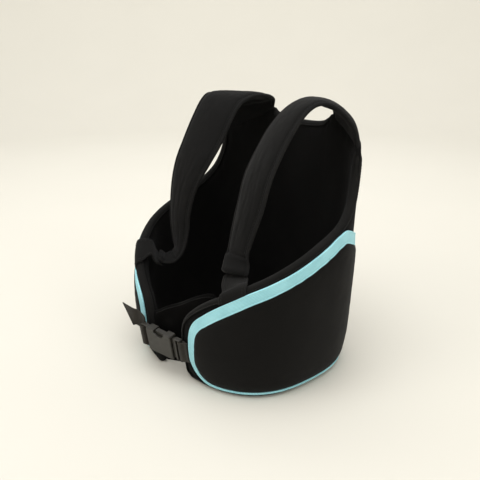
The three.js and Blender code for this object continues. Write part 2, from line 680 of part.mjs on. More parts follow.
const cutter = (shape, w0, w1) => new THREE.ExtrudeGeometry(shape, { depth: w1 - w0, bevelEnabled: false }).translate(0, 0, w0);

let female = solid(plate(-FEMALE.half, FEMALE.half, FEMALE.tall, -FEMALE.thick, 0, FEMALE.corner, FEMALE.bevel));
female = female.add(solid(plate(LADDER.from, LADDER.to, LADDER.tall, LADDER.w0, LADDER.w1, 2.4, 0.8)));
female = female.subtract(
  solid(block(LADDER.slotFrom, LADDER.slotTo, -LADDER.slotTall / 2, LADDER.slotTall / 2, -20, 5)),
);
female = female.subtract(solid(block(CAVITY.from, FEMALE.half + 5, -CAVITY.v, CAVITY.v, CAVITY.w0, CAVITY.w1)));
female = female
  .subtract(solid(cutter(outlineShape(WINDOW, "u", "v"), -20, 5)))
  .subtract(solid(cutter(outlineShape([...WINDOW].reverse(), "u", "v", -1), -20, CAVITY.w1)));

let male = solid(plate(MALE.from, MALE.to, MALE.tall, MALE.w0, MALE.w1, 2.4, 0.8));
male = male.add(solid(block(MALE.neckFrom, MALE.neckTo + 1, -14.2, 14.2, PRONG_W.w0 + 0.6, PRONG_W.w1)));
male = male.subtract(solid(block(MALE.slotFrom, MALE.slotTo, -MALE.slotTall / 2, MALE.slotTall / 2, -20, 5)));
// The bar behind the slot is thinner than the plate, so that the webbing lies flush.
for (const [w0, w1] of [[-20, MALE_BAR.w0], [MALE_BAR.w1, 5]])
  male = male.subtract(solid(block(MALE.slotFrom, MALE.to + 5, -MALE.slotTall / 2, MALE.slotTall / 2, w0, w1)));
male = male
  .add(solid(cutter(outlineShape([...PRONG].reverse(), "u", "v"), PRONG_W.w0, PRONG_W.w1)))
  .add(solid(cutter(outlineShape(PRONG, "u", "v", -1), PRONG_W.w0, PRONG_W.w1)))
  .add(solid(block(GUIDE.from, GUIDE.to, -GUIDE.v, GUIDE.v, PRONG_W.w0, PRONG_W.w1)));

// Webbing is a section in the (u, w) plane carried across its width.
function acrossWidth(shape) {
  return new THREE.ExtrudeGeometry(shape, { depth: WEBBING.wide, bevelEnabled: false })
    .translate(0, 0, -WEBBING.wide / 2)
    .rotateX(Math.PI / 2);
}
// rotateX(+90) sends the section's second axis to +w and its depth to -v.
const leftSection = new THREE.Shape(WEB_LEFT.outline.map((r) => new THREE.Vector2(r.u, r.w)));
const bar = WEB_LEFT.bar;
leftSection.holes.push(
  new THREE.Path([
    new THREE.Vector2(bar.u0, bar.w0),
    new THREE.Vector2(bar.u0, bar.w1),
    new THREE.Vector2(bar.u1, bar.w1),
    new THREE.Vector2(bar.u1, bar.w0),
  ]),
);
// Outline of a band of even thickness along a path.
function bandAlong(rows, thick) {
  const curve = new THREE.SplineCurve(rows.map((r) => new THREE.Vector2(r.u, r.w)));
  const n = rows.length * 2;
  const side = (sign) =>
    Array.from({ length: n + 1 }, (_, i) => {
      const p = curve.getPoint(i / n);
      const t = curve.getTangent(i / n);
      return p.add(new THREE.Vector2(-t.y, t.x).multiplyScalar((sign * thick) / 2));
    });
  return new THREE.Shape([...side(-1), ...side(1).reverse()]);
}
function tailRings() {
  const up = TAIL.map((r) => V(r.u, r.v + r.up, r.w));
  const down = TAIL.map((r) => V(r.u, r.v - r.down, r.w));
  up.push(V(TAIL_TIP.u, TAIL_TIP.v, TAIL_TIP.w));
  down.push(V(TAIL_TIP.lowU, TAIL_TIP.lowV, TAIL_TIP.lowW));
  return strip(up, down, () => WEBBING.thick, () => 0, 8, FLAT);
}

// ------------------------------------------------------------------ the object
const fabric = (color, roughness) => new THREE.MeshStandardMaterial({ color, roughness, metalness: 0 });
const part = new THREE.Group();
const piece = (name, geometry, material, parent = part) => {
  const mesh = new THREE.Mesh(geometry, material);
  mesh.name = name;
  parent.add(mesh);
};

piece("body_wall", skin(wallRings), fabric(0x17171a, 0.92));
piece("rib_panel", skin(panelRings), fabric(0x111114, 0.78));
piece("trim_band", skin(trimRings, true), fabric(0x8fd3dc, 0.7));
piece("shoulder_strap_left", skin(leftStrap), fabric(0x1b1b1e, 0.9));
piece("shoulder_strap_right", skin(rightStrap), fabric(0x1b1b1e, 0.9));
piece("anchor_tab_left", skin(tabRings(1)), fabric(0x202022, 0.88));
piece("anchor_tab_right", skin(tabRings(-1)), fabric(0x202022, 0.88));
piece("buckle_female", geometryOf(female), new THREE.MeshStandardMaterial({ color: 0x2b2926, roughness: 0.5, metalness: 0 }), buckle);
piece("buckle_male", geometryOf(male), new THREE.MeshStandardMaterial({ color: 0x242220, roughness: 0.5, metalness: 0 }), buckle);
piece("webbing_left", acrossWidth(leftSection), fabric(0x1c1b1a, 0.85), buckle);
piece("webbing_right", acrossWidth(bandAlong(WEB_RIGHT.path, WEBBING.thick)), fabric(0x1c1b1a, 0.85), buckle);
piece("webbing_tail", skin(tailRings()), fabric(0x262320, 0.85), buckle);
part.add(buckle);

export default part;
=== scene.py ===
import math

import bpy
import numpy as np
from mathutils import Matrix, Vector
from mathutils.kdtree import KDTree


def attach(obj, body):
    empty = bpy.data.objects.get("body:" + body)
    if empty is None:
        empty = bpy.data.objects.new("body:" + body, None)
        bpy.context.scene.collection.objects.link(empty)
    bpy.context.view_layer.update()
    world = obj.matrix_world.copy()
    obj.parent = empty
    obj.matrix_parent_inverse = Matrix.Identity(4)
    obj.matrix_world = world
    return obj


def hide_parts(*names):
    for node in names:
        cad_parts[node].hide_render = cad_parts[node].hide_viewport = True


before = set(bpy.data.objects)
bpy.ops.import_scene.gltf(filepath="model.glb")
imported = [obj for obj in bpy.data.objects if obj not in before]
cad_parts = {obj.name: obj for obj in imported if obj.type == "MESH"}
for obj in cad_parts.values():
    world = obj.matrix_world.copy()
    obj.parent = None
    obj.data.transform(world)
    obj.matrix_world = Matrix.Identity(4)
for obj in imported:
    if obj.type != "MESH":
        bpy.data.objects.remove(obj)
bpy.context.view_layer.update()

scene = bpy.context.scene
MM = 0.001
RNG = np.random.default_rng(7)

# ------------------------------------------------------------------ sizes, in millimetres, in the same frame as the solids
FRAME_Y = 15.125
ROUNDNESS = 2.63
REF = dict(side=159.0, front=128.0, back=123.5)
LEVELS = [  # z, side, front, back
    (0, 142.5, 116.0, 117.2),
    (60, 151.7, 124.3, 119.6),
    (130, 155.5, 123.4, 119.8),
    (220, 158.5, 118.3, 119.7),
    (265, 160.6, 117.0, 120.9),
    (300, 162.0, 116.0, 121.6),
    (380, 162.5, 116.0, 121.4),
]
WALL = 11.0
WING_Q = {1: 31.0, -1: 38.0}
LEFT_LIFT = [(31, 3), (38, 9.5), (52, 10), (70, 8), (87, 5.5), (103, 2.5), (118, 0.5), (134, 0)]  # q, height over the shared rim
RIM = [  # q, z
    (38, 84), (50, 94), (69, 111), (87, 125), (103, 136), (118, 145.5), (134, 154.5), (162, 167), (190, 179),
    (210, 187), (243, 200.5), (268, 211.5), (280, 218.5), (292, 227.5), (301, 236.5), (308, 247), (314, 259.5),
    (318, 272.5), (320.5, 286), (323, 298.5), (324, 301), (348, 309.6), (372, 318.2), (396, 326.8), (411, 332.2),
    (412, 332.5), (419, 326.8), (429, 321), (443, 318.7), (460, 318), (472, 318),
]
FLAP_RIM = [(-64, 125), (-45, 118), (-30, 111), (-10, 99), (10, 89), (25, 80), (38, 73)]
FLAP = dict(end=-64.0, low=5.0, thick=4.5)
CORNER_TOP = 16.0
CORNER_LOW = {1: 15.0, -1: 6.0}
RIGHT_WING = [  # q, forward, foot forward, foot in
    (-64, -27, 0, 0), (-45, -20, 0, 0), (-25, -14, 0, 2), (-5, -6, 0, 6), (20, 4, 1, 12), (38, 8, 4, 17), (50, 8.3, 4, 17),
    (75, 8.5, 3.5, 13), (110, 5, 3, 6), (150, 0, 0, 0), (160, 0, 0, 0),
]
FOOT_HEIGHT = 75.0
TRIM_LOW, TRIM_FRONT, TRIM_R = 5.5, 50.5, 38.0
TRIM_RISE = (64.0, 88.0, 70.0)
TRIM_TOP = [
    (70, 103), (87, 116.3), (103, 127.4), (118.5, 137.2), (134, 146.4), (161.6, 158.9), (190, 170.6), (210, 178.6),
    (243.5, 192.2), (262, 201.3), (278, 205), (290, 202), (304, 196.5), (318, 191), (345, 184), (380, 179.5),
    (420, 177.5), (471, 177),
]
TRIM_WIDTH = [(0, 3.4), (0.39, 3.6), (0.425, 6), (0.45, 9.4), (0.475, 12.2), (0.505, 13.6), (0.54, 14), (0.65, 14.8), (0.8, 16.5), (1, 16.5)]
STRAP = [  # inner edge, outer edge, thickness, bow
    (77, -90, 158.5, 107, -74, 158.5, 5.5, 0), (65.4, -76.2, 166, 98.6, -65.8, 167, 6, 0.5),
    (57, -64.5, 178, 95, -65, 178, 7, 1), (52, -53, 206, 97, -57, 204, 8.5, 1.5),
    (48, -41, 234, 100, -47, 232, 9, 2), (42.5, -26, 264, 101.5, -38, 262, 9, 2),
    (40.5, -7, 291, 102, -25, 288, 9, 2), (42, 14, 319, 105, -4, 322, 9, 2),
    (46, 36, 340, 109, 14, 344, 9, 2), (47, 58, 348.5, 113, 27, 351, 9, 1.5),
    (48.5, 80, 350.5, 117.5, 43.5, 349, 9, 1.5), (52, 99, 347.5, 123.5, 60.5, 337.5, 9, 2.5),
    (57, 111, 341.5, 131, 71.5, 320.5, 9, 4),
]
STRAP_RIGHT_END = [  # the right strap is let out further and hangs lower; the rows of STRAP from the fifth follow
    (83.6, -86.6, 127.2, 110, -68.4, 129.8, 5.5, 0), (81.5, -78.6, 119.6, 107.9, -60.4, 120.8, 5.5, 0), (70.6, -67.8, 121.8, 102.6, -55, 124, 6, 0.3),
    (61, -60.6, 133.6, 95.5, -50.5, 132.6, 6.5, 0.5), (56.6, -55.7, 149.6, 93.8, -53.3, 145, 7, 1),
    (54.3, -52, 170.4, 94.6, -55, 164.5, 7.5, 1.2), (52.6, -50.6, 192.9, 96, -54.5, 184.5, 8.2, 1.5),
]
SEAM = dict(in_q=411, in_z=332.2, out_q=324, out_z=301, thick=9, bow=5.5)
TAB = dict(width=34.0, thick=2.6, q={1: 116.5, -1: 105.0})
TAB_ON_WALL = [(-8.4, 0.3, 1.5), (-2.6, 0.9, 1.5), (2.0, -1.2, 1.5), (3.2, -7.5, 1.5)]  # above rim, height, bow
TAB_FREE = [  # middle, direction across, bow
    (98.5, -88.2, 149.6, 0.82, 0.48, 0.26, 0.8), (91, -80.5, 152.4, 0.89, 0.43, 0.12, 0.3),
    (84.2, -73.2, 157, 0.94, 0.34, 0.02, 0),
]
TAB_FREE_RIGHT = [
    (99.5, -88.5, 139.5, 0.8, 0.5, 0.36, 0.8), (97.5, -83, 126, 0.82, 0.54, 0.2, 0.3), (92.5, -74, 114, 0.83, 0.55, 0.06, 0),
]
BUCKLE_AT = np.array([1.6, -139.5 + FRAME_Y, 44.4])
BUCKLE_TURN, BUCKLE_LEAN = math.radians(13), math.radians(9)


# ------------------------------------------------------------------ curves and the wall's surface
def through(rows, col=1):
    """Smooth curve through two columns of a table, without overshoot."""
    X = np.array([r[0] for r in rows], float)
    Y = np.array([r[col] for r in rows], float)
    d = np.diff(Y) / np.diff(X)
    m = np.empty_like(Y)
    m[0], m[-1] = d[0], d[-1]
    a, b = d[:-1], d[1:]
    same = a * b > 0
    m[1:-1] = np.where(same, 2 * a * b / np.where(same, a + b, 1), 0)

    def f(x):
        x = np.asarray(x, float)
        i = np.clip(np.searchsorted(X[1:], x, side="left"), 0, len(X) - 2)
        h = X[i + 1] - X[i]
        t = np.clip((x - X[i]) / h, 0, 1)
        t2, t3 = t * t, t * t * t
        return (2 * t3 - 3 * t2 + 1) * Y[i] + (t3 - 2 * t2 + t) * h * m[i] + (3 * t2 - 2 * t3) * Y[i + 1] + (t3 - t2) * h * m[i + 1]

    return f


side_at, front_at, back_at = (through(LEVELS, c) for c in (1, 2, 3))
shared_rim_at, lift_at, flap_rim_at = through(RIM), through(LEFT_LIFT), through(FLAP_RIM)
forward_at, foot_forward_at, foot_in_at = (through(RIGHT_WING, c) for c in (1, 2, 3))

_t = np.pi * np.arange(2881) / 2880
_px = np.abs(np.sin(_t)) ** (2 / ROUNDNESS)
_py = -np.sign(np.cos(_t)) * np.abs(np.cos(_t)) ** (2 / ROUNDNESS)
_ref = np.stack([REF["side"] * _px, np.where(_py < 0, REF["front"], REF["back"]) * _py], 1)
_s = np.concatenate([[0], np.cumsum(np.hypot(*np.diff(_ref, axis=0).T))])
HALF = _s[-1]


def on_wall(hand, q, z, h=0.0):
    q, z, h, hand = np.broadcast_arrays(*(np.asarray(v, float) for v in (q, z, h, hand)))
    px, py = np.interp(np.abs(q), _s, _px), np.interp(np.abs(q), _s, _py)
    A = side_at(z)
    B = np.where(py < 0, front_at(z), back_at(z))
    nx = np.abs(px) ** (ROUNDNESS - 1) / A
    ny = np.sign(py) * np.abs(py) ** (ROUNDNESS - 1) / B
    n = np.hypot(nx, ny)
    across = np.where(q < 0, -hand, hand)
    right = (hand < 0) & (q < 150)
    foot = np.where(right, np.clip(1 - z / FOOT_HEIGHT, 0, 1), 0)
    forward = np.where(right, forward_at(q) + foot * foot_forward_at(q), 0)
    shift = foot * foot_in_at(q)
    return np.stack([across * (A * px + nx / n * h) + shift, B * py + ny / n * h - forward + FRAME_Y, z + 0 * q], -1)


def around(s, z, h=0.0):
    """Point on the wall: s runs from the left wing round the back to the right wing."""
    s = np.asarray(s, float)
    left = s <= HALF
    return on_wall(np.where(left, 1.0, -1.0), np.where(left, s, 2 * HALF - s), z, h)


def rim_at(hand, q):
    return shared_rim_at(q) + np.where(np.asarray(hand) > 0, lift_at(q), 0)


def round_off(d, r):
    return np.where(d >= r, 0, r - np.sqrt(np.clip(r * r - (r - d) ** 2, 0, None)))


def smooth(t):
    t = np.clip(t, 0, 1)
    return t * t * (3 - 2 * t)


def wobble(a, b, wave, seed, n=7):
    """Soft unevenness, about -1 to 1, that repeats nowhere near."""
    rng = np.random.default_rng(seed)
    out = 0.0
    for _ in range(n):
        k = 2 * np.pi / (wave * rng.uniform(0.7, 1.7))
        th, ph = rng.uniform(0, 2 * np.pi, 2)
        out = out + np.sin(k * (a * np.cos(th) + b * np.sin(th)) + ph)
    return out / np.sqrt(n)


def spaced(points, step=None, count=None):
    points = np.asarray(points, float)
    s = np.concatenate([[0], np.cumsum(np.linalg.norm(np.diff(points, axis=0), axis=1))])
    n = count or max(2, int(round(s[-1] / step)) + 1)
    t = np.linspace(0, s[-1], n)
    return np.stack([np.interp(t, s, points[:, k]) for k in range(points.shape[1])], 1), t


def normals_2d(points):
    t = np.gradient(points, axis=0)
    t /= np.linalg.norm(t, axis=1)[:, None]
    return np.stack([t[:, 1], -t[:, 0]], 1)


def distance_to(line, pts):
    """Distance of each 2-D point to a polyline."""
    out = np.full(len(pts), 1e9)
    a, b = line[:-1], line[1:]
    ab = b - a
    L = np.maximum((ab**2).sum(1), 1e-9)
    for k in range(0, len(pts), 2000):
        p = pts[k : k + 2000, None]
        t = np.clip(((p - a) * ab).sum(2) / L, 0, 1)
        out[k : k + 2000] = np.sqrt((((p - a) - t[..., None] * ab) ** 2).sum(2).min(1))
    return out


# ------------------------------------------------------------------ meshes
def grid_faces(n, m, wrap_i=False, wrap_j=False):
    i, j = np.meshgrid(np.arange(n if wrap_i else n - 1), np.arange(m if wrap_j else m - 1), indexing="ij")
    i, j = i.ravel(), j.ravel()
    i2, j2 = (i + 1) % n, (j + 1) % m
    return np.stack([i * m + j, i2 * m + j, i2 * m + j2, i * m + j2], 1)


def grid_uv(U, V, wrap_i=False, wrap_j=False):
    """Corner coordinates for grid_faces, from U and V that carry one more row or column where the grid wraps."""
    i, j = np.meshgrid(np.arange(U.shape[0] - 1), np.arange(U.shape[1] - 1), indexing="ij")
    i, j = i.ravel(), j.ravel()
    pick = lambda a: np.stack([a[i, j], a[i + 1, j], a[i + 1, j + 1], a[i, j + 1]], 1)
    return np.stack([pick(U), pick(V)], -1).reshape(-1, 2)


def build(name, verts, faces, material, uv=None, point_data=None, flat=False):
    """faces is a list of arrays of faces; verts in mm."""
    me = bpy.data.meshes.new(name)
    polys = []
    for f in faces:
        polys += f.tolist() if isinstance(f, np.ndarray) else list(f)
    me.from_pydata((np.asarray(verts) * MM).tolist(), [], polys)
    if uv is not None:
        layer = me.uv_layers.new(name="cloth")
        flat_uv = np.zeros((len(me.loops), 2), np.float32)
        flat_uv[: len(uv)] = np.asarray(uv) * MM
        layer.data.foreach_set("uv", flat_uv.ravel())
    for key, values in (point_data or {}).items():
        at = me.attributes.new(key, "FLOAT", "POINT")
        at.data.foreach_set("value", np.asarray(values, np.float32).ravel())
    me.polygons.foreach_set("use_smooth", np.full(len(me.polygons), not flat))
    me.update()
    ob = bpy.data.objects.new(name, me)
    scene.collection.objects.link(ob)
    me.materials.append(material)
    outward(ob)
    return ob


def outward(ob):
    """Turns a closed mesh's faces to point out."""
    import bmesh

    bm = bmesh.new()
    bm.from_mesh(ob.data)
    bmesh.ops.recalc_face_normals(bm, faces=bm.faces)
    if bm.calc_volume(signed=True) < 0:
        bmesh.ops.reverse_faces(bm, faces=bm.faces)
    bm.to_mesh(ob.data)
    bm.free()


def strip_caps(n, m):
    """End caps of a grid of n closed rings of m points, joined across the ring."""
    caps = []
    for start in (0, (n - 1) * m):
        for j in range(m // 2 - 1):
            caps.append([start + j, start + j + 1, start + m - 2 - j, start + m - 1 - j])
    return np.array(caps)


def tube_like(name, P, material, U, V, closed_along=False, **kw):
    """Closed skin over rings P[n, m, 3]; the rings are closed."""
    n, m = P.shape[:2]
    f = [grid_faces(n, m, closed_along, True)]
    uv = grid_uv(U, V)
    if not closed_along:
        f.append(strip_caps(n, m))
    return build(name, P.reshape(-1, 3), f, material, uv, **kw)


def seam_stitches(name, points, normals, material, pitch=3.6, length=2.5, radius=0.38, lift=0.12):
    """A row of thread stitches along a line of points, each a small rounded bar."""
    pts, s = spaced(points, step=0.5)
    nrm = np.stack([np.interp(np.linspace(0, 1, len(pts)), np.linspace(0, 1, len(normals)), normals[:, k]) for k in range(3)], 1)
    total = s[-1]
    mids = np.arange(pitch * 0.5, total, pitch)
    ring = np.array([(math.cos(a), math.sin(a)) for a in np.linspace(0, 2 * np.pi, 6, endpoint=False)])
    along = [(-0.5, 0.25, -0.5), (-0.42, 0.8, 0.0), (-0.15, 1.0, 0.35), (0.15, 1.0, 0.35), (0.42, 0.8, 0.0), (0.5, 0.25, -0.5)]
    verts, faces = [], []
    for c in mids:
        at = lambda arr, d: np.array([np.interp(c + d, s, arr[:, k]) for k in range(3)])
        t = at(pts, 0.6) - at(pts, -0.6)
        t /= np.linalg.norm(t)
        up = at(nrm, 0)
        up -= t * (up @ t)
        up /= np.linalg.norm(up)
        side = np.cross(t, up)
        base = len(verts)
        for d, r, dip in along:
            mid = at(pts, d * length) + up * (lift + dip * radius * 0.6)
            for cx, cy in ring:
                verts.append(mid + side * (cx * radius * r) + up * (cy * radius * r * 0.8))
        k = len(along)
        for i in range(k - 1):
            for j in range(6):
                faces.append([base + i * 6 + j, base + i * 6 + (j + 1) % 6, base + (i + 1) * 6 + (j + 1) % 6, base + (i + 1) * 6 + j])
        faces.append([base + j for j in range(5, -1, -1)])
        faces.append([base + (k - 1) * 6 + j for j in range(6)])
    return build(name, np.array(verts), [faces], material)


# ------------------------------------------------------------------ swelling of padded pieces
def points_of(me):
    co = np.empty(len(me.vertices) * 3, np.float32)
    me.vertices.foreach_get("co", co)
    return co.reshape(-1, 3).astype(float)


def swell(ob, free, cap, voxel, pressure=4.0, frames=20):
    """Swells a pad with a cloth simulation. An even, coarse copy is held along its seams and blown up by a light inner
    pressure without gravity; its points' motion, at most cap millimetres, is then carried over to the piece, where free
    runs from 0 on a seam to 1 on open cloth."""
    fine = points_of(ob.data)
    copy = bpy.data.objects.new("swelling", ob.data.copy())
    scene.collection.objects.link(copy)
    even = copy.modifiers.new("even", "REMESH")
    even.mode, even.voxel_size = "VOXEL", voxel * MM
    coarse = bpy.data.meshes.new_from_object(copy.evaluated_get(bpy.context.evaluated_depsgraph_get()))
    copy.modifiers.clear()
    copy.data = coarse
    start = points_of(coarse)
    near = KDTree(len(fine))
    for i, c in enumerate(fine):
        near.insert(c, i)
    near.balance()
    hold = np.array([1 - free[near.find(c)[1]] for c in start])
    seam = copy.vertex_groups.new(name="seam")
    for level in np.linspace(0, 1, 11):
        which = np.where(np.abs(hold - level) <= 0.05)[0]
        if len(which):
            seam.add(which.tolist(), float(level), "REPLACE")
    cloth = copy.modifiers.new("swelling", "CLOTH")
    cloth.settings.vertex_group_mass = "seam"
    cloth.settings.use_pressure = True
    cloth.settings.uniform_pressure_force = pressure
    cloth.settings.effector_weights.gravity = 0
    cloth.settings.quality = 5
    cloth.settings.mass = 0.005
    cloth.settings.tension_stiffness = cloth.settings.compression_stiffness = 2.0
    cloth.settings.shear_stiffness, cloth.settings.bending_stiffness = 1.0, 0.1
    cloth.point_cache.frame_end = frames
    for f in range(1, frames + 1):
        scene.frame_set(f)
    moved = copy.evaluated_get(bpy.context.evaluated_depsgraph_get())
    shift = (points_of(moved.data) - start) / MM
    scene.frame_set(1)
    bpy.data.objects.remove(copy)
    size = np.linalg.norm(shift, axis=1)
    shift *= (cap * np.tanh(size / cap) / np.maximum(size, 1e-6))[:, None]
    far = KDTree(len(start))
    for i, c in enumerate(start):
        far.insert(c, i)
    far.balance()
    out = fine.copy()
    for i, c in enumerate(fine):
        if free[i] > 0:
            found = far.find_n(c, 5)
            w = np.array([1 / (d / MM + 0.8) ** 2 for _, _, d in found])
            out[i] += free[i] * MM * (shift[[k for _, k, _ in found]] * w[:, None]).sum(0) / w.sum()
    ob.data.vertices.foreach_set("co", out.astype(np.float32).ravel())
    ob.data.update()


# ------------------------------------------------------------------ materials
def new_material(name):
    m = bpy.data.materials.new(name)
    m.use_nodes = True
    nt = m.node_tree
    nt.nodes.clear()
    out = nt.nodes.new("ShaderNodeOutputMaterial")
    b = nt.nodes.new("ShaderNodeBsdfPrincipled")
    nt.links.new(b.outputs[0], out.inputs[0])
    return m, nt, b


def node(nt, kind, inputs=None, **props):
    n = nt.nodes.new(kind)
    for k, v in props.items():
        setattr(n, k, v)
    for k, v in (inputs or {}).items():
        if hasattr(v, "is_linked") or isinstance(v, bpy.types.NodeSocket):
            nt.links.new(v, n.inputs[k])
        else:
            n.inputs[k].default_value = v
    return n


def wave(nt, vec, period, direction, distortion=0.0, detail_scale=1.0):
    return node(
        nt, "ShaderNodeTexWave",
        {"Vector": vec, "Scale": 0.314159 / period, "Distortion": distortion, "Detail": 1.0, "Detail Scale": detail_scale},
        wave_type="BANDS", bands_direction=direction, wave_profile="SIN",
    ).outputs["Fac"]


def cloth_material(name, dark, light, weave="knit", period=0.0011, bump=0.4, rough=(0.82, 0.95), sheen=0.25, tint=(0.7, 0.7, 0.72),
                   sheen_rough=0.45, blotch=26.0, lint=0.25, edge=None, spec=0.25):
    """Woven or knitted cloth: weave from the surface's own coordinates in metres, uneven dye, lint and a soft sheen,
    with painted shade in the weave's hollows and a painted highlight along rounded edges that carry the edge attribute.
    """
    m, nt, b = new_material(name)
    uv = node(nt, "ShaderNodeUVMap", uv_map="cloth").outputs["UV"]
    where = node(nt, "ShaderNodeTexCoord").outputs["Object"]
    if weave == "knit":
        a = wave(nt, uv, period, "X", 0.6, 2.0)
        c = wave(nt, uv, period * 0.72, "Y", 0.6, 2.0)
        height = node(nt, "ShaderNodeMath", {0: a, 1: c}, operation="MULTIPLY").outputs[0]
    elif weave == "twill":
        a = wave(nt, uv, period, "DIAGONAL", 0.3, 2.0)
        c = wave(nt, uv, period * 0.55, "Y", 0.2, 2.0)
        height = node(nt, "ShaderNodeMath", {0: a, 1: c, 2: 0.0}, operation="MULTIPLY_ADD").outputs[0]
        height = node(nt, "ShaderNodeMath", {0: a, 1: height}, operation="ADD").outputs[0]
    else:  # webbing: cross ribs broken into columns
        a = wave(nt, uv, period, "X", 0.15, 2.0)
        c = wave(nt, uv, period * 1.6, "Y", 0.1, 2.0)
        height = node(nt, "ShaderNodeMath", {0: c, 1: 0.45, 2: a}, operation="MULTIPLY_ADD").outputs[0]
    fuzz = node(nt, "ShaderNodeTexNoise", {"Vector": where, "Scale": 1900.0, "Detail": 3.0, "Roughness": 0.6}).outputs["Fac"]
    soft = node(nt, "ShaderNodeTexNoise", {"Vector": where, "Scale": blotch, "Detail": 4.0, "Roughness": 0.55}).outputs["Fac"]
    height = node(nt, "ShaderNodeMath", {0: fuzz, 1: 0.35, 2: height}, operation="MULTIPLY_ADD").outputs[0]
    bumped = node(nt, "ShaderNodeBump", {"Strength": bump, "Distance": 0.00028, "Height": height})
    nt.links.new(bumped.outputs[0], b.inputs["Normal"])
    dye = node(nt, "ShaderNodeValToRGB", {"Fac": soft})
    dye.color_ramp.elements[0].position, dye.color_ramp.elements[1].position = 0.32, 0.7
    dye.color_ramp.elements[0].color = (*dark, 1)
    dye.color_ramp.elements[1].color = (*light, 1)
    # painted shade and highlight: the colour is darkened in the weave's hollows and lightened on the thread tips,
    # following the bump height
    weave_relief_shade = node(nt, "ShaderNodeMapRange", {"Value": height, "From Min": 0.25, "From Max": 1.35, "To Min": 0.78, "To Max": 1.22}).outputs[0]
    colour = node(nt, "ShaderNodeVectorMath", {0: dye.outputs["Color"], "Scale": weave_relief_shade}, operation="SCALE").outputs[0]
    if lint:
        specks = node(nt, "ShaderNodeTexNoise", {"Vector": where, "Scale": 620.0, "Detail": 2.0, "Roughness": 0.7}).outputs["Fac"]
        few = node(nt, "ShaderNodeMapRange", {"Value": specks, "From Min": 0.66, "From Max": 0.78, "To Min": 1.0, "To Max": 1.0 + 4 * lint}).outputs[0]
        colour = node(nt, "ShaderNodeVectorMath", {0: colour, "Scale": few}, operation="SCALE").outputs[0]
    # painted highlight: the colour is lightened, up to the edge gain, where the mesh's edge attribute is high, along
    # rounded edges, crests and folds
    if edge:
        painted_edge_highlight = node(nt, "ShaderNodeAttribute", attribute_name="edge").outputs["Fac"]
        gain = node(nt, "ShaderNodeMapRange", {"Value": painted_edge_highlight, "From Min": 0.0, "From Max": 1.0, "To Min": 1.0, "To Max": edge}).outputs[0]
        colour = node(nt, "ShaderNodeVectorMath", {0: colour, "Scale": gain}, operation="SCALE").outputs[0]
    nt.links.new(colour, b.inputs["Base Color"])
    r = node(nt, "ShaderNodeMapRange", {"Value": soft, "From Min": 0.3, "From Max": 0.7, "To Min": rough[0], "To Max": rough[1]}).outputs[0]
    nt.links.new(r, b.inputs["Roughness"])
    b.inputs["Sheen Weight"].default_value = sheen
    b.inputs["Sheen Roughness"].default_value = sheen_rough
    b.inputs["Sheen Tint"].default_value = (*tint, 1)
    b.inputs["Specular IOR Level"].default_value = spec
    return m


def thread_material(name, dark, light):
    m, nt, b = new_material(name)
    where = node(nt, "ShaderNodeTexCoord").outputs["Object"]
    ply = node(nt, "ShaderNodeTexNoise", {"Vector": where, "Scale": 1400.0, "Detail": 2.0}).outputs["Fac"]
    ramp = node(nt, "ShaderNodeValToRGB", {"Fac": ply})
    ramp.color_ramp.elements[0].position, ramp.color_ramp.elements[1].position = 0.35, 0.65
    ramp.color_ramp.elements[0].color = (*dark, 1)
    ramp.color_ramp.elements[1].color = (*light, 1)
    nt.links.new(ramp.outputs["Color"], b.inputs["Base Color"])
    bumped = node(nt, "ShaderNodeBump", {"Strength": 0.5, "Distance": 0.0002, "Height": ply})
    nt.links.new(bumped.outputs[0], b.inputs["Normal"])
    b.inputs["Roughness"].default_value = 0.6
    b.inputs["Sheen Weight"].default_value = 0.08
    b.inputs["Specular IOR Level"].default_value = 0.15
    return m


def plastic_material(name, dark, light):
    """Moulded plastic with a fine spark texture, handling marks and slightly rubbed spots."""
    m, nt, b = new_material(name)
    where = node(nt, "ShaderNodeTexCoord").outputs["Object"]
    grain = node(nt, "ShaderNodeTexNoise", {"Vector": where, "Scale": 2600.0, "Detail": 2.0, "Roughness": 0.5}).outputs["Fac"]
    marks = node(nt, "ShaderNodeTexNoise", {"Vector": where, "Scale": 95.0, "Detail": 5.0, "Roughness": 0.65}).outputs["Fac"]
    streak = node(nt, "ShaderNodeMapping", {"Vector": where, "Scale": (1.0, 1.0, 9.0)}).outputs[0]
    rub = node(nt, "ShaderNodeTexNoise", {"Vector": streak, "Scale": 160.0, "Detail": 3.0}).outputs["Fac"]
    ramp = node(nt, "ShaderNodeValToRGB", {"Fac": marks})
    ramp.color_ramp.elements[0].position, ramp.color_ramp.elements[1].position = 0.35, 0.72
    ramp.color_ramp.elements[0].color = (*dark, 1)
    ramp.color_ramp.elements[1].color = (*light, 1)
    nt.links.new(ramp.outputs["Color"], b.inputs["Base Color"])
    r = node(nt, "ShaderNodeMapRange", {"Value": rub, "From Min": 0.3, "From Max": 0.7, "To Min": 0.36, "To Max": 0.54}).outputs[0]
    nt.links.new(r, b.inputs["Roughness"])
    bumped = node(nt, "ShaderNodeBump", {"Strength": 0.22, "Distance": 0.00012, "Height": grain})
    nt.links.new(bumped.outputs[0], b.inputs["Normal"])
    b.inputs["Specular IOR Level"].default_value = 0.42
    return m
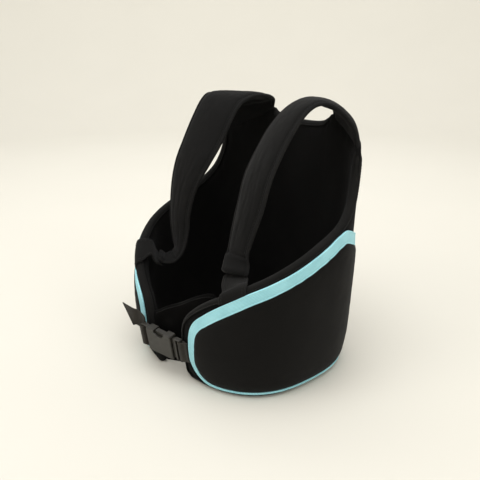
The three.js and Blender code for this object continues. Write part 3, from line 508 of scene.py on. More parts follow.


# The edge argument of each cloth is the gain of its painted highlight along rounded edges.
shell = cloth_material("shell_knit", (0.0030, 0.0029, 0.0028), (0.0050, 0.0049, 0.0047), "knit", 0.0012, 0.45, sheen=0.035, edge=1.5, spec=0.06)
lining_tone = cloth_material("binding_cloth", (0.0044, 0.0043, 0.0041), (0.0070, 0.0068, 0.0065), "twill", 0.0009, 0.4, sheen=0.06, edge=1.5, spec=0.08)
# painted shade: a darker copy of the shell knit for the inner flap, standing in for the shade inside the wing; its edge
# gain paints the flap's highlights
flap_shade_knit = cloth_material("flap_knit_painted_shade", (0.0018, 0.0017, 0.0016), (0.0030, 0.0029, 0.0028), "knit", 0.0012, 0.4, sheen=0.02, edge=4.0, spec=0.04)
panel_cloth = cloth_material("panel_knit", (0.0036, 0.0034, 0.0031), (0.0056, 0.0053, 0.0049), "knit", 0.0010, 0.35, rough=(0.72, 0.86), sheen=0.05,
                             blotch=18.0, edge=1.35, spec=0.10)
strap_cloth = cloth_material("strap_knit", (0.0046, 0.0045, 0.0044), (0.0072, 0.0070, 0.0069), "knit", 0.0012, 0.45, sheen=0.065, edge=2.0, spec=0.08)
trim_cloth = cloth_material("trim_weave", (0.262, 0.560, 0.630), (0.332, 0.655, 0.720), "twill", 0.0010, 0.35, rough=(0.6, 0.75), sheen=0.15,
                            tint=(0.85, 0.95, 0.97), blotch=40.0, lint=0.0, edge=1.22, spec=0.35)
tab_cloth = cloth_material("tab_weave", (0.0064, 0.0062, 0.0060), (0.0098, 0.0095, 0.0092), "web", 0.0014, 0.55, sheen=0.06, edge=1.5, spec=0.08)
web_cloth = cloth_material("webbing_weave", (0.0185, 0.0165, 0.0135), (0.0310, 0.0275, 0.0225), "web", 0.0015, 0.7, sheen=0.16, edge=1.35, spec=0.15)
black_thread = thread_material("black_thread", (0.0052, 0.0051, 0.0050), (0.0105, 0.0103, 0.0100))
aqua_thread = thread_material("aqua_thread", (0.33, 0.62, 0.68), (0.45, 0.73, 0.78))
plastic = plastic_material("buckle_moulded", (0.0135, 0.0122, 0.0096), (0.0235, 0.0212, 0.0168))

made = []


def keep(ob, replaces=()):
    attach(ob, "root")
    if replaces:
        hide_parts(*replaces)
    made.append(ob)
    return ob


# ------------------------------------------------------------------ outline of the wall in its unrolled plane (s round it, z up)
def wing_low(hand, q):
    return np.where(np.asarray(hand) > 0, round_off(q - WING_Q[1], CORNER_LOW[1]), round_off(q - WING_Q[-1], CORNER_LOW[-1]))


def wing_top(hand, q):
    return rim_at(hand, q) - np.where(np.asarray(hand) > 0, round_off(q - WING_Q[1], CORNER_TOP), round_off(q - WING_Q[-1], CORNER_TOP))


def half_outline(hand, stop):
    """From the middle of the back along the base, up the front edge and along the rim to q = stop."""
    corner_q = WING_Q[hand] + 16 * (1 - np.cos(np.linspace(0, np.pi / 2, 14)))
    base_q = np.concatenate([np.linspace(HALF, WING_Q[hand] + 17, 200), corner_q[::-1]])
    top_q = np.concatenate([corner_q, np.linspace(WING_Q[hand] + 17, stop, 400)])
    low = np.stack([base_q, wing_low(hand, base_q)], 1)
    top = np.stack([top_q, wing_top(hand, top_q)], 1)
    line = np.concatenate([low, top])
    if hand < 0:
        line[:, 0] = 2 * HALF - line[:, 0]
    return line


outline_left = half_outline(1, 323.2)
outline_right = half_outline(-1, 323.2)
seam_left = np.stack([np.linspace(323.2, 412, 60), shared_rim_at(np.linspace(323.2, 412, 60))], 1)
neck_q = np.linspace(412, HALF, 60)
neck = np.concatenate([np.stack([neck_q, shared_rim_at(neck_q)], 1), np.stack([2 * HALF - neck_q[::-1], shared_rim_at(neck_q[::-1])], 1)[1:]])
seam_right = seam_left.copy()
seam_right[:, 0] = 2 * HALF - seam_right[:, 0]
full_outline = np.concatenate([outline_left, seam_left, neck, seam_right[::-1], outline_right[::-1]])

# ------------------------------------------------------------------ padded wall
corner_columns = np.array([0, 0.8, 2, 3.6, 5.6, 8, 11, 14.4])
col_half = np.concatenate([np.arange(56, 268, 4.0), np.arange(268, 300, 2.0),
                           np.arange(300, 325, 1.0), np.arange(325, 410, 3.5), np.arange(410, 425, 1.2), np.arange(425, HALF - 1, 4.0), [HALF]])
col_left = np.concatenate([WING_Q[1] + 1.6 + corner_columns, [50, 53], col_half])
col_right = np.concatenate([WING_Q[-1] + 1.6 + corner_columns, col_half])
cols = np.concatenate([col_left, (2 * HALF - col_right[:-1])[::-1]])
ROWS = 46
f = 0.5 - 0.5 * np.cos(np.linspace(0, np.pi, ROWS))
f = 0.35 * f + 0.65 * np.linspace(0, 1, ROWS)
colq = np.where(cols <= HALF, cols, 2 * HALF - cols)
col_hand = np.where(cols <= HALF, 1, -1)
low = wing_low(col_hand, colq) + 1.6
top = wing_top(col_hand, colq) - 2.2
S = np.repeat(cols[:, None], ROWS, 1)
Z = low[:, None] + f[None] * (top - low)[:, None]
D = distance_to(full_outline, np.stack([S.ravel(), Z.ravel()], 1)).reshape(S.shape)
full = smooth(D / 17)
pucker = np.exp(-((D - 9) / 7) ** 2)
h_out = -2.3 + 2.2 * full + 0.25 * pucker * wobble(S, Z, 13, 3) - 0.15
h_in = -WALL + 2.4 * (1 - full) - 0.9 * full + 0.55 * wobble(S, Z, 52, 5) * full + 0.45 * pucker * wobble(S, Z, 15, 6)
# Soft folds of the lining low down inside the left side and behind the front edge of the right wing.
for s0, z0, tilt, amp, wide, long in [(205, 62, 0.5, 2.0, 5, 46), (188, 44, 0.62, 1.6, 4, 40), (250, 60, 0.3, 1.2, 7, 50), (2 * HALF - 84, 40, -0.5, 1.4, 5, 30)]:
    a = (S - s0) * np.cos(tilt) + (Z - z0) * np.sin(tilt)
    c = -(S - s0) * np.sin(tilt) + (Z - z0) * np.cos(tilt)
    h_in = h_in - 1.3 * amp * np.exp(-((c / wide) ** 2)) * np.exp(-((a / long) ** 2)) * full
rolled = smooth((132 - np.where(S <= HALF, S, 2 * HALF - S)) / 34) * smooth((Z - 40) / 40)
h_in = h_in - 6.0 * rolled * np.exp(-(((D - 9) / 8) ** 2))
outer = around(S, Z, np.minimum(h_out, 0.05))
inner = around(S, Z, h_in)
P = np.concatenate([outer, inner[:, ::-1]], 1)
Vv = np.concatenate([Z, -Z[:, ::-1] + 2 * top[:, None]], 1)
U = np.concatenate([S, S[:, ::-1]], 1)
U, Vv = np.concatenate([U, U[:, :1]], 1), np.concatenate([Vv, Vv[:, :1] - 12], 1)
# painted highlight: the shell's colour is lightened within a few millimetres of the wall's outline, along the rim and
# front edges
edge_w = np.exp(-D / 5)
wall = tube_like("padded_wall", P, shell, U, Vv, point_data={"edge": np.concatenate([edge_w, edge_w[:, ::-1]], 1)})
keep(wall, ["body_wall"])


# Bound edge: a folded tape that wraps the wall's rim, front edge and base.
BIND = [  # depth in from the outline, height over the wall's outer face
    (6.6, 0.0), (6.5, 0.35), (5.6, 0.5), (3.6, 0.15), (1.9, -0.9), (0.75, -2.3), (0.15, -3.9), (0.0, -5.5), (0.15, -7.1),
    (0.75, -8.7), (1.9, -10.1), (3.6, -11.2), (5.8, -11.75), (7.0, -11.65), (7.1, -11.1), (5.6, -10.0), (3.4, -8.2), (2.6, -5.5), (3.4, -2.8), (5.4, -1.0),
]


def bind(name, line, turn=1, tapered=()):
    pts, s = spaced(line, step=2.6)
    n = normals_2d(pts) * turn
    # the normal turns evenly through tight corners
    k = np.ones(5) / 5
    pad = np.concatenate([n[:1], n[:1], n, n[-1:], n[-1:]])
    n = np.stack([np.convolve(pad[:, c], k, "valid") for c in range(2)], 1)
    n /= np.linalg.norm(n, axis=1)[:, None]
    # the tape thins out where it runs under a strap
    thin = 1 - 0.6 * sum(smooth(1 - np.abs(s - s[e]) / 16) for e in tapered)[:, None]
    d = np.array([b[0] for b in BIND])[None] * thin + 2.2 * (1 - thin)
    h = (np.array([b[1] for b in BIND])[None] + 5.5) * thin - 5.5
    ripple = 0.16 * wobble(s, 0 * s, 17, 11)[:, None] * (np.array([0, 0.6, 1, 1, 0.6, 0.4, 0.2, 0, 0.2, 0.4, 0.6, 1, 1, 0.6, 0, 0, 0, 0, 0, 0])[None])
    h = h + ripple * np.where(h > -5.5, 1, -1)
    Sx = pts[:, :1] + n[:, :1] * d
    Zx = np.maximum(pts[:, 1:] + n[:, 1:] * d, 0.0)
    P = around(Sx, Zx, h)
    m = len(BIND)
    across = np.concatenate([[0], np.cumsum(np.hypot(*np.diff(np.array(BIND), axis=0).T)), [46.0]])
    U = np.repeat(s[:, None], m + 1, 1)
    V = np.repeat(across[None], len(s), 0)
    # painted highlight along the crest of the folded tape and its two lips, through the edge attribute
    edge = np.repeat(np.array([0.2, 0.8, 0.3, 0.2, 0.5, 0.9, 1, 1, 1, 0.9, 0.5, 0.2, 0.3, 0.8, 0.2, 0, 0, 0, 0, 0])[None], len(s), 0)
    ob = tube_like(name, P, lining_tone, U, V, point_data={"edge": edge})
    keep(ob)
    for tag, depth, height, side in (("out", 5.2, 0.48, 1), ("in", 5.7, -11.75, -1)):
        line3 = around(pts[:, 0] + n[:, 0] * depth, np.maximum(pts[:, 1] + n[:, 1] * depth, 0), height)
        base = around(pts[:, 0] + n[:, 0] * depth, np.maximum(pts[:, 1] + n[:, 1] * depth, 0), height - 1)
        up = (line3 - base) * side
        keep(seam_stitches(name + "_stitch_" + tag, line3[3:-8] if tapered else line3, up[3:-8] if tapered else up, black_thread))
    return ob


bind("edge_binding_left", outline_left, tapered=(-1,))
bind("edge_binding_right", outline_right, turn=-1, tapered=(-1,))
bind("neckline_binding", neck, tapered=(0, -1))

# ------------------------------------------------------------------ flap inside the right wing
fq = np.concatenate([np.array([0, 0.7, 1.8, 3.4, 5.6, 8.4, 11.6]) + FLAP["end"], np.arange(-49, 47, 3.0)])
FR = 26
ff = np.linspace(0, 1, FR)
d_end = fq - FLAP["end"]
flow = FLAP["low"] + round_off(d_end, 6)
ftop = flap_rim_at(fq) - round_off(d_end, 16)
FQ = np.repeat(fq[:, None], FR, 1)
FZ = flow[:, None] + ff[None] * (ftop - flow)[:, None]
edge_d = np.minimum(np.minimum(FZ - flow[:, None], ftop[:, None] - FZ), (FQ - FLAP["end"]) + 0.0)
fullf = smooth(edge_d / 6)
billow = -2.4 * np.exp(-(((FQ - 13) / 9) ** 2 + ((FZ - 65) / 8) ** 2)) + 1.2 * np.exp(-(((FQ + 6) / 9) ** 2 + ((FZ - 70) / 14) ** 2))
h_mid = -WALL + FLAP["thick"] / 2 + billow + 0.35 * wobble(FQ, FZ, 34, 21) * fullf
half_t = 0.75 + 1.5 * fullf
P = np.concatenate([on_wall(-1, FQ, FZ, h_mid + half_t), on_wall(-1, FQ, FZ, h_mid - half_t)[:, ::-1]], 1)
U = np.concatenate([FQ, FQ[:, ::-1]], 1)
V = np.concatenate([FZ, 2 * ftop[:, None] - FZ[:, ::-1]], 1)
U, V = np.concatenate([U, U[:, :1]], 1), np.concatenate([V, V[:, :1] - 5], 1)
# painted highlight: a light streak along the flap's edges, strongest along the top edge near q = -14, and a light patch
# on the fold lobe at q 13, z 66
ew = np.exp(-edge_d / 3) * (0.08 + 0.92 * np.exp(-(((FQ + 14) / 11) ** 2))) + 0.5 * np.exp(-((((FQ - 13) / 8) ** 2 + ((FZ - 66) / 6) ** 2)))
flap = tube_like("inner_flap", P, flap_shade_knit, U, V, point_data={"edge": np.concatenate([ew, ew[:, ::-1]], 1)})
keep(flap)
for tag, off in (("top", 4.0),):
    qs = np.linspace(FLAP["end"] + 6, 34, 60)
    zt = flap_rim_at(qs) - round_off(qs - FLAP["end"], 16) - off
    a = on_wall(-1, qs, zt, -WALL + FLAP["thick"] / 2 + 1.6)
    b = on_wall(-1, qs, zt, -WALL + FLAP["thick"] / 2 + 0.6)
    keep(seam_stitches("flap_stitch_" + tag, a, a - b, black_thread))

# ------------------------------------------------------------------ trim band
trim_top_at, trim_width_at = through(TRIM_TOP), through(TRIM_WIDTH)
ang = np.linspace(-np.pi / 2, -np.pi, 40)
bez = np.linspace(0, 1, 30)[:, None]
p0, p1, p2 = np.array([TRIM_FRONT, TRIM_RISE[0]]), np.array([TRIM_FRONT, TRIM_RISE[1]]), np.array([TRIM_RISE[2], float(trim_top_at(TRIM_RISE[2]))])
tq = np.linspace(TRIM_RISE[2], HALF, 400)
trim_half = np.concatenate([
    np.stack([np.linspace(HALF, TRIM_FRONT + TRIM_R, 120), np.full(120, TRIM_LOW)], 1),
    np.stack([TRIM_FRONT + TRIM_R + TRIM_R * np.cos(ang), TRIM_LOW + TRIM_R + TRIM_R * np.sin(ang)], 1)[1:],
    ((1 - bez) ** 2 * p0 + 2 * bez * (1 - bez) * p1 + bez**2 * p2),
    np.stack([tq, trim_top_at(tq)], 1)[1:],
])
NT = 300
loop, loop_s = spaced(trim_half, count=NT + 1)
loop_in = normals_2d(loop)
k = np.ones(7) / 7
padn = np.concatenate([np.repeat(loop_in[:1], 3, 0), loop_in, np.repeat(loop_in[-1:], 3, 0)])
loop_in = np.stack([np.convolve(padn[:, c], k, "valid") for c in range(2)], 1)
loop_in /= np.linalg.norm(loop_in, axis=1)[:, None]
loop_in[0], loop_in[-1] = (0, 1), (0, -1)
loop_w = trim_width_at(np.linspace(0, 1, NT + 1))

# Section across the band: share of its width, largest distance from the near edge, height above the slope of the band.
RIB = [(0.0, 0.0, -1.7), (0.01, 0.1, -0.3), (0.10, 0.45, 0.30), (0.22, 1.0, 0.45), (0.34, 1.6, 0.25), (0.42, 2.1, -0.12), (0.47, 2.8, 0.05)]


def trim_section(w):
    xs, hs = [], []
    for share, most, h in RIB:
        xs.append(np.minimum(share * w, most))
        hs.append(h + 0 * w)
    for t in (0.35, 0.5, 0.65):
        a, c = np.minimum(0.47 * w, 2.8), w - np.minimum(0.47 * w, 2.8)
        xs.append(a + t * (c - a))
        hs.append(0.18 + 0 * w)
    for share, most, h in RIB[::-1]:
        xs.append(w - np.minimum(share * w, most))
        hs.append(h + 0 * w)
    return np.stack(xs, 1), np.stack(hs, 1)


def loop_both(x, h):
    """Points of the closed loop for offsets x[n, m] in from the outer edge and heights h[n, m]."""
    q = loop[:, :1] + loop_in[:, :1] * x
    z = loop[:, 1:] + loop_in[:, 1:] * x
    left = on_wall(1, q, z, h)
    right = on_wall(-1, q, z, h)
    return np.concatenate([left, right[-2:0:-1]])


xs, hs = trim_section(loop_w)
slope = 2.0 + 1.1 * xs / loop_w[:, None]
ripple = 0.10 * wobble(loop_s, 0 * loop_s, 11, 31)[:, None]
top_h = slope + hs + ripple
back_x = np.stack([loop_w * t for t in (0.97, 0.5, 0.03)], 1)
xa, ha = np.concatenate([xs, back_x], 1), np.concatenate([top_h, np.full_like(back_x, 0.25)], 1)
P = loop_both(xa, ha)
m = xa.shape[1]
length = np.concatenate([loop_s, loop_s[-1] + (loop_s[-1] - loop_s[-2:0:-1])])
U = np.repeat(np.append(length, 2 * loop_s[-1])[:, None], m + 1, 1)
acc = np.concatenate([xa, xa[-2:0:-1], xa[:1]])
V = np.concatenate([acc, acc[:, :1] + 25], 1)
# painted highlight along both borders of the band, through the edge attribute
edge_t = np.exp(-np.minimum(xs, loop_w[:, None] - xs) / 1.1)
edge_t = np.concatenate([edge_t, np.zeros_like(back_x)], 1)
trim = tube_like("trim_ribbon", P, trim_cloth, U, V, closed_along=True, point_data={"edge": np.concatenate([edge_t, edge_t[-2:0:-1]])})
keep(trim, ["trim_band"])

# Thread rows along both edges of the band where it is wide enough.
wide = np.where(loop_w > 6.5)[0]
for tag, depth in (("outer", 2.1), ("inner", -2.1)):
    d = np.full(len(loop_w), depth) if depth > 0 else loop_w + depth
    hh = 2.0 + 1.1 * d / loop_w - 0.05
    for hand, side in ((1, "left"), (-1, "right")):
        a = on_wall(hand, loop[:, 0] + loop_in[:, 0] * d, loop[:, 1] + loop_in[:, 1] * d, hh)[wide]
        b = on_wall(hand, loop[:, 0] + loop_in[:, 0] * d, loop[:, 1] + loop_in[:, 1] * d, hh - 1)[wide]
        keep(seam_stitches(f"trim_stitch_{tag}_{side}", a, a - b, aqua_thread, pitch=3.4, length=2.5, radius=0.34, lift=0.1))

# ------------------------------------------------------------------ rib panel
border = loop + loop_in * (loop_w * 0.72)[:, None]
front_i = int(np.argmin(border[:, 0]))
low_line, top_line = border[: front_i + 1][::-1], border[front_i:]
low_x, top_x = np.maximum.accumulate(low_line[:, 0] + 1e-6 * np.arange(len(low_line))), np.maximum.accumulate(top_line[:, 0] + 1e-6 * np.arange(len(top_line)))
front_q = border[front_i, 0]
pq = np.concatenate([front_q + np.array([0, 0.25, 0.7, 1.4, 2.4, 3.8, 5.6, 8, 11, 14.5, 18.5, 23, 28, 33.5]), np.arange(front_q + 38, HALF - 2, 4.0), [HALF]])
PR = 54
pf = 0.5 - 0.5 * np.cos(np.linspace(0, np.pi, PR))
pf = 0.6 * pf + 0.4 * np.linspace(0, 1, PR)
plow, ptop = np.interp(pq, low_x, low_line[:, 1]), np.interp(pq, top_x, top_line[:, 1])
PQ = np.repeat(pq[:, None], PR, 1)
PZ = plow[:, None] + pf[None] * (ptop - plow)[:, None]
PD = distance_to(border, np.stack([PQ.ravel(), PZ.ravel()], 1)).reshape(PQ.shape)


def panel_side(hand):
    seed = 40 if hand > 0 else 50
    rise = 1 - np.exp(-PD / 5.5)
    near = np.exp(-((PD - 7) / 6) ** 2)
    # fine pleats where the cloth is gathered into the seam, and slow unevenness of the foam
    h = 1.0 + 4.6 * rise + 0.22 * near * wobble(PQ, PZ, 10, seed) + 0.35 * rise * wobble(PQ, PZ, 85, seed + 1)
    h = np.where(PD < 0.4, 0.9, h)
    return h


fronts, backs = {}, {}
for hand in (1, -1):
    fronts[hand] = on_wall(hand, PQ, PZ, panel_side(hand))
bf = np.linspace(1, 0, 10)[1:-1]
BQ = np.repeat(pq[:, None], len(bf), 1)
BZ = plow[:, None] + bf[None] * (ptop - plow)[:, None]
for hand in (1, -1):
    backs[hand] = on_wall(hand, BQ, BZ, 0.35)
sides = {h: np.concatenate([fronts[h], backs[h]], 1) for h in (1, -1)}
# the two sides meet at the middle of the back
sides[1][-1] = (sides[1][-1] + sides[-1][-1]) / 2
P = np.concatenate([sides[1], sides[-1][-2::-1]])
sv = np.concatenate([pq, 2 * HALF - pq[-2::-1]])
zz = np.concatenate([PZ, BZ], 1)
zz = np.concatenate([zz, zz[-2::-1]])
U = np.repeat(sv[:, None], zz.shape[1] + 1, 1)
V = np.concatenate([zz, zz[:, :1]], 1)
# painted highlight along the panel's gathered border, through the edge attribute
pe = np.concatenate([np.exp(-PD / 6), 0 * BZ], 1)
panel = tube_like("rib_pad", P, panel_cloth, U, V, point_data={"edge": np.concatenate([pe, pe[-2::-1]])})
keep(panel, ["rib_panel"])
open_cloth = np.concatenate([smooth((PD - 3) / 14), 0 * BZ], 1)
swell(panel, np.append(np.concatenate([open_cloth, open_cloth[-2::-1]]).ravel(), []), 1.0, 4.0)


# ------------------------------------------------------------------ shoulder straps
def catmull(points, t):
    """Centripetal Catmull-Rom curve through points, at t from 0 to 1."""
    p = np.asarray(points, float)
    p = np.concatenate([[2 * p[0] - p[1]], p, [2 * p[-1] - p[-2]]])
    n = len(points)
    x = np.asarray(t, float) * (n - 1)
    i = np.minimum(x.astype(int), n - 2)
    w = (x - i)[:, None]
    a, b, c, d = p[i], p[i + 1], p[i + 2], p[i + 3]
    d0, d1, d2 = (np.maximum(((v - u) ** 2).sum(1), 1e-12) ** 0.25 for u, v in ((a, b), (b, c), (c, d)))
    d0, d1, d2 = d0[:, None], d1[:, None], d2[:, None]
    t1 = ((b - a) / d0 - (c - a) / (d0 + d1) + (c - b) / d1) * d1
    t2 = ((c - b) / d1 - (d - b) / (d1 + d2) + (d - c) / d2) * d1
    return b + t1 * w + (-3 * b + 3 * c - 2 * t1 - t2) * w**2 + (2 * b - 2 * c + t1 + t2) * w**3


def strap_lines(table, count, fuller=0.0):
    """Middle surface of a left-hand strap: its two edges, directions, widths, thickness and bow, row by row."""
    into = [(SEAM["in_q"], SEAM["out_q"], 2.0), (SEAM["in_q"], SEAM["out_q"], 7.0)]
    inner = [(r[0], r[1] + FRAME_Y, r[2]) for r in table] + [tuple(on_wall(1, i, SEAM["in_z"] - d, -WALL / 2)) for i, o, d in into]
    outer = [(r[3], r[4] + FRAME_Y, r[5]) for r in table] + [tuple(on_wall(1, o, SEAM["out_z"] - d, -WALL / 2)) for i, o, d in into]
    rows = [(r[6], r[7]) for r in table] + [(SEAM["thick"], SEAM["bow"]), (4.5, SEAM["bow"])]
    rows = [(i / (len(rows) - 1), *r) for i, r in enumerate(rows)]
    t = np.linspace(0, 1, count)
    A, B = catmull(inner, t), catmull(outer, t)
    mid = (A + B) / 2
    L = np.concatenate([[0], np.cumsum(np.linalg.norm(np.diff(mid, axis=0), axis=1))])
    tang = np.gradient(mid, axis=0)
    tang /= np.linalg.norm(tang, axis=1)[:, None]
    cross = B - A
    cross /= np.linalg.norm(cross, axis=1)[:, None]
    up = np.cross(cross, tang)
    up /= np.linalg.norm(up, axis=1)[:, None]
    # full edges along the length, a doubled-over end piece that stands out inward, and rounded end corners
    spread = 1.1 * smooth(L / 30) * (1 - smooth((L - L[-1] + 45) / 35))
    inward = fuller * np.exp(-(((mid[:, 2] - 275) / 48) ** 2)) * (mid[:, 1] < 40)
    doubled = smooth(L / 5) * (1 - smooth((L - 23) / 6))
    corner = 3.5 * (1 - np.sqrt(1 - (1 - np.clip(L / 6, 0, 1)) ** 2))
    A = A - cross * (spread + inward + 2.2 * doubled - corner)[:, None]
    B = B + cross * (spread - corner)[:, None]
    closing = np.maximum(np.sqrt(1 - (1 - np.clip(L / 4.5, 0, 1)) ** 2), 0.08)
    return dict(t=t, A=A, B=B, L=L, cross=cross, up=up, width=np.linalg.norm(B - A, axis=1), doubled=doubled,
                thick=through(rows, 1)(t) * closing, bow=through(rows, 2)(t))


# Height over the middle of the strap at each distance from its edge: piping, seam, then padding.
EDGE = [(0, 0.0), (0.25, 1.0), (0.8, 1.75), (1.7, 2.25), (2.7, 2.25), (3.6, 1.9), (4.3, 1.6), (5.1, 1.95), (6.6, 2.8), (9, 3.6), (13, 4.2), (19, 4.45)]
edge_h = through(EDGE)
en = np.array([e[0] for e in EDGE[:-1]])


def strap_half(F, face, seed):
    """Grid of one face of the strap, from the inner to the outer edge."""
    width, L1 = F["width"], F["L"]
    share = np.linspace(0, 1, 26)[1:-1]
    reach = np.minimum(1.0, width / 44)
    e = en[None] * reach[:, None]
    centre = width[:, None] - 2 * e[:, -1:]
    x = np.concatenate([e, e[:, -1:] + share[None] * centre, width[:, None] - e[:, ::-1]], 1)
    s = 2 * x / width[:, None] - 1
    from_edge = np.minimum(x, width[:, None] - x) / reach[:, None]
    thick = F["thick"][:, None] / 9
    h = edge_h(np.minimum(from_edge, 19)) * thick
    L = np.repeat(L1[:, None], x.shape[1], 1)
    part = L / L1[-1]
    pad = smooth((from_edge - 4.5) / 6)
    if face > 0:
        lower = smooth((part - 0.10) / 0.06) * (1 - smooth((part - 0.40) / 0.16))
        for s0, drift, depth, wide in ((-0.20, 0.10, 0.42, 0.085), (0.30, -0.12, 0.32, 0.075)):
            line = s0 + drift * np.sin(L / 34 + s0 * 9)
            h = h - depth * np.exp(-(((s - line) / wide) ** 2)) * lower * pad
        h = h + 0.22 * lower * pad * wobble(L * 0.5, x, 16, seed + 2)
        h = h + 0.22 * pad * wobble(L, x * 0.6, 24, seed) + 0.12 * np.exp(-((from_edge - 6) / 2.5) ** 2) * wobble(L, 0 * x, 7, seed + 1)
        h = h + (1.5 * F["doubled"][:, None] - 1.2 * np.exp(-(((L - 28.5) / 2.2) ** 2))) * smooth(from_edge / 5)
    else:
        h = h + 0.35 * pad * wobble(L, x * 0.5, 22, seed + 5)
    bow = F["bow"][:, None] * (1 - s * s)
    pos = F["A"][:, None] + F["cross"][:, None] * x[..., None] + F["up"][:, None] * (bow + face * h)[..., None]
    return pos, x, from_edge


def make_strap(hand, side):
    F = strap_lines(STRAP, 190) if hand > 0 else strap_lines(STRAP_RIGHT_END + STRAP[4:], 214, fuller=5.5)
    seed = 60 if hand > 0 else 80
    width, L, ST = F["width"], F["L"], len(F["L"])
    topf, x, fe = strap_half(F, 1, seed)
    botf, _, _ = strap_half(F, -1, seed)
    P = np.concatenate([topf, botf[:, -2:0:-1]], 1)
    n = P.shape[1]
    xx = np.concatenate([x, 2 * width[:, None] - x[:, -2:0:-1]], 1)
    V = np.concatenate([xx, (2 * width)[:, None]], 1)
    U = np.repeat(L[:, None], n + 1, 1)
    # painted highlight along the strap's rolled edges and piping, through the edge attribute
    e = np.exp(-np.maximum(fe - 0.8, 0) / 0.9)
    e = np.concatenate([e, e[:, -2:0:-1]], 1)
    mirror = np.array([hand, 1, 1])
    P = P * mirror
    fl = [grid_faces(ST, n, False, True)]
    verts = P.reshape(-1, 3)
    caps = []
    for k, start in ((0, 0), (1, (ST - 1) * n)):
        for j in range(n):
            caps.append([start + j, start + (j + 1) % n, len(verts) + k])
    verts = np.concatenate([verts, [P[0].mean(0), P[-1].mean(0)]])
    ed = np.concatenate([e.ravel(), [0, 0]])
    ob = build("strap_pad_" + side, verts, fl + [np.array(caps)], strap_cloth, grid_uv(U, V), {"edge": ed})
    keep(ob, ["shoulder_strap_" + side])
    open_cloth = smooth((fe - 4.6) / 6) * (smooth((L - 30) / 12) * (1 - smooth((L - L[-1] + 30) / 20)))[:, None]
    swell(ob, np.append(np.concatenate([open_cloth, open_cloth[:, -2:0:-1]], 1).ravel(), [0, 0]), 1.3, 4.0)
    for tag, face in (("top", 1), ("under", -1)):
        for edge_tag, end in (("inner", 0), ("outer", 1)):
            d = 5.4
            at = d if end == 0 else width - d
            s = 2 * at / width - 1
            rise = (F["bow"] * (1 - s * s) + face * (float(edge_h(d)) * F["thick"] / 9 - 0.05))[:, None]
            line = F["A"] + F["cross"] * np.broadcast_to(np.asarray(at, float), width.shape)[:, None] + F["up"] * rise
            pick = (L > 32) & (L < L[-1] - 12)
            keep(seam_stitches(f"strap_stitch_{side}_{tag}_{edge_tag}", (line * mirror)[pick], (F["up"] * face * mirror)[pick], black_thread, pitch=3.8))
    return ob


make_strap(1, "left")
make_strap(-1, "right")


# ------------------------------------------------------------------ anchor tabs
def flat_strip(name, a, b, thick, bow, material, rounds=0.5, cells=22, taper=None):
    """A flat strip between two edge lines a[n, 3] and b[n, 3], with softly rounded selvedges."""
    n = len(a)
    c = b - a
    w = np.linalg.norm(c, axis=1)
    c = c / w[:, None]
    mid = (a + b) / 2
    t = np.gradient(mid, axis=0)
    t /= np.linalg.norm(t, axis=1)[:, None]
    u = np.cross(c, t)
    u /= np.linalg.norm(u, axis=1)[:, None]
    s = np.concatenate([[0], np.cumsum(np.linalg.norm(np.diff(mid, axis=0), axis=1))])
    off = np.concatenate([[0, 0.25, 0.8, 1.7, 2.6], np.linspace(0, 1, cells)[1:-1]])
    near = np.array([0, 0.25, 0.8, 1.7, 2.6])
    x = np.concatenate([np.repeat(near[None], n, 0), near[-1] + np.linspace(0, 1, cells)[1:-1][None] * (w - 2 * near[-1])[:, None], w[:, None] - near[::-1][None]], 1)
    from_edge = np.minimum(x, w[:, None] - x)
    shape = np.interp(from_edge, [0, 0.25, 0.8, 1.7, 2.6], [0.0, 0.72, 1.06, 1.1, 0.98])
    sx = 2 * x / w[:, None] - 1
    lift = np.asarray(bow)[:, None] * (1 - sx * sx)
    face = lambda sign: a[:, None] + c[:, None] * x[..., None] + u[:, None] * (lift + sign * shape * thick / 2)[..., None]
    P = np.concatenate([face(1), face(-1)[:, -2:0:-1]], 1)
    xx = np.concatenate([x, 2 * w[:, None] - x[:, -2:0:-1], 2 * w[:, None]], 1)
    U = np.repeat(s[:, None], P.shape[1] + 1, 1)
    ring = P.shape[1]
    verts = P.reshape(-1, 3)
    caps = []
    for k, start in ((0, 0), (1, (n - 1) * ring)):
        for j in range(ring):
            caps.append([start + j, start + (j + 1) % ring, len(verts) + k])
    verts = np.concatenate([verts, [P[0].mean(0), P[-1].mean(0)]])
    # painted highlight along the selvedges of tabs and webbing, through the edge attribute
    e = np.exp(-from_edge / 1.4)
    e = np.concatenate([np.concatenate([e, e[:, -2:0:-1]], 1).ravel(), [0, 0]])
    ob = build(name, verts, [grid_faces(n, ring, False, True), np.array(caps)], material, grid_uv(U, xx), {"edge": e})
    return ob, (a, c, u, w, lift)


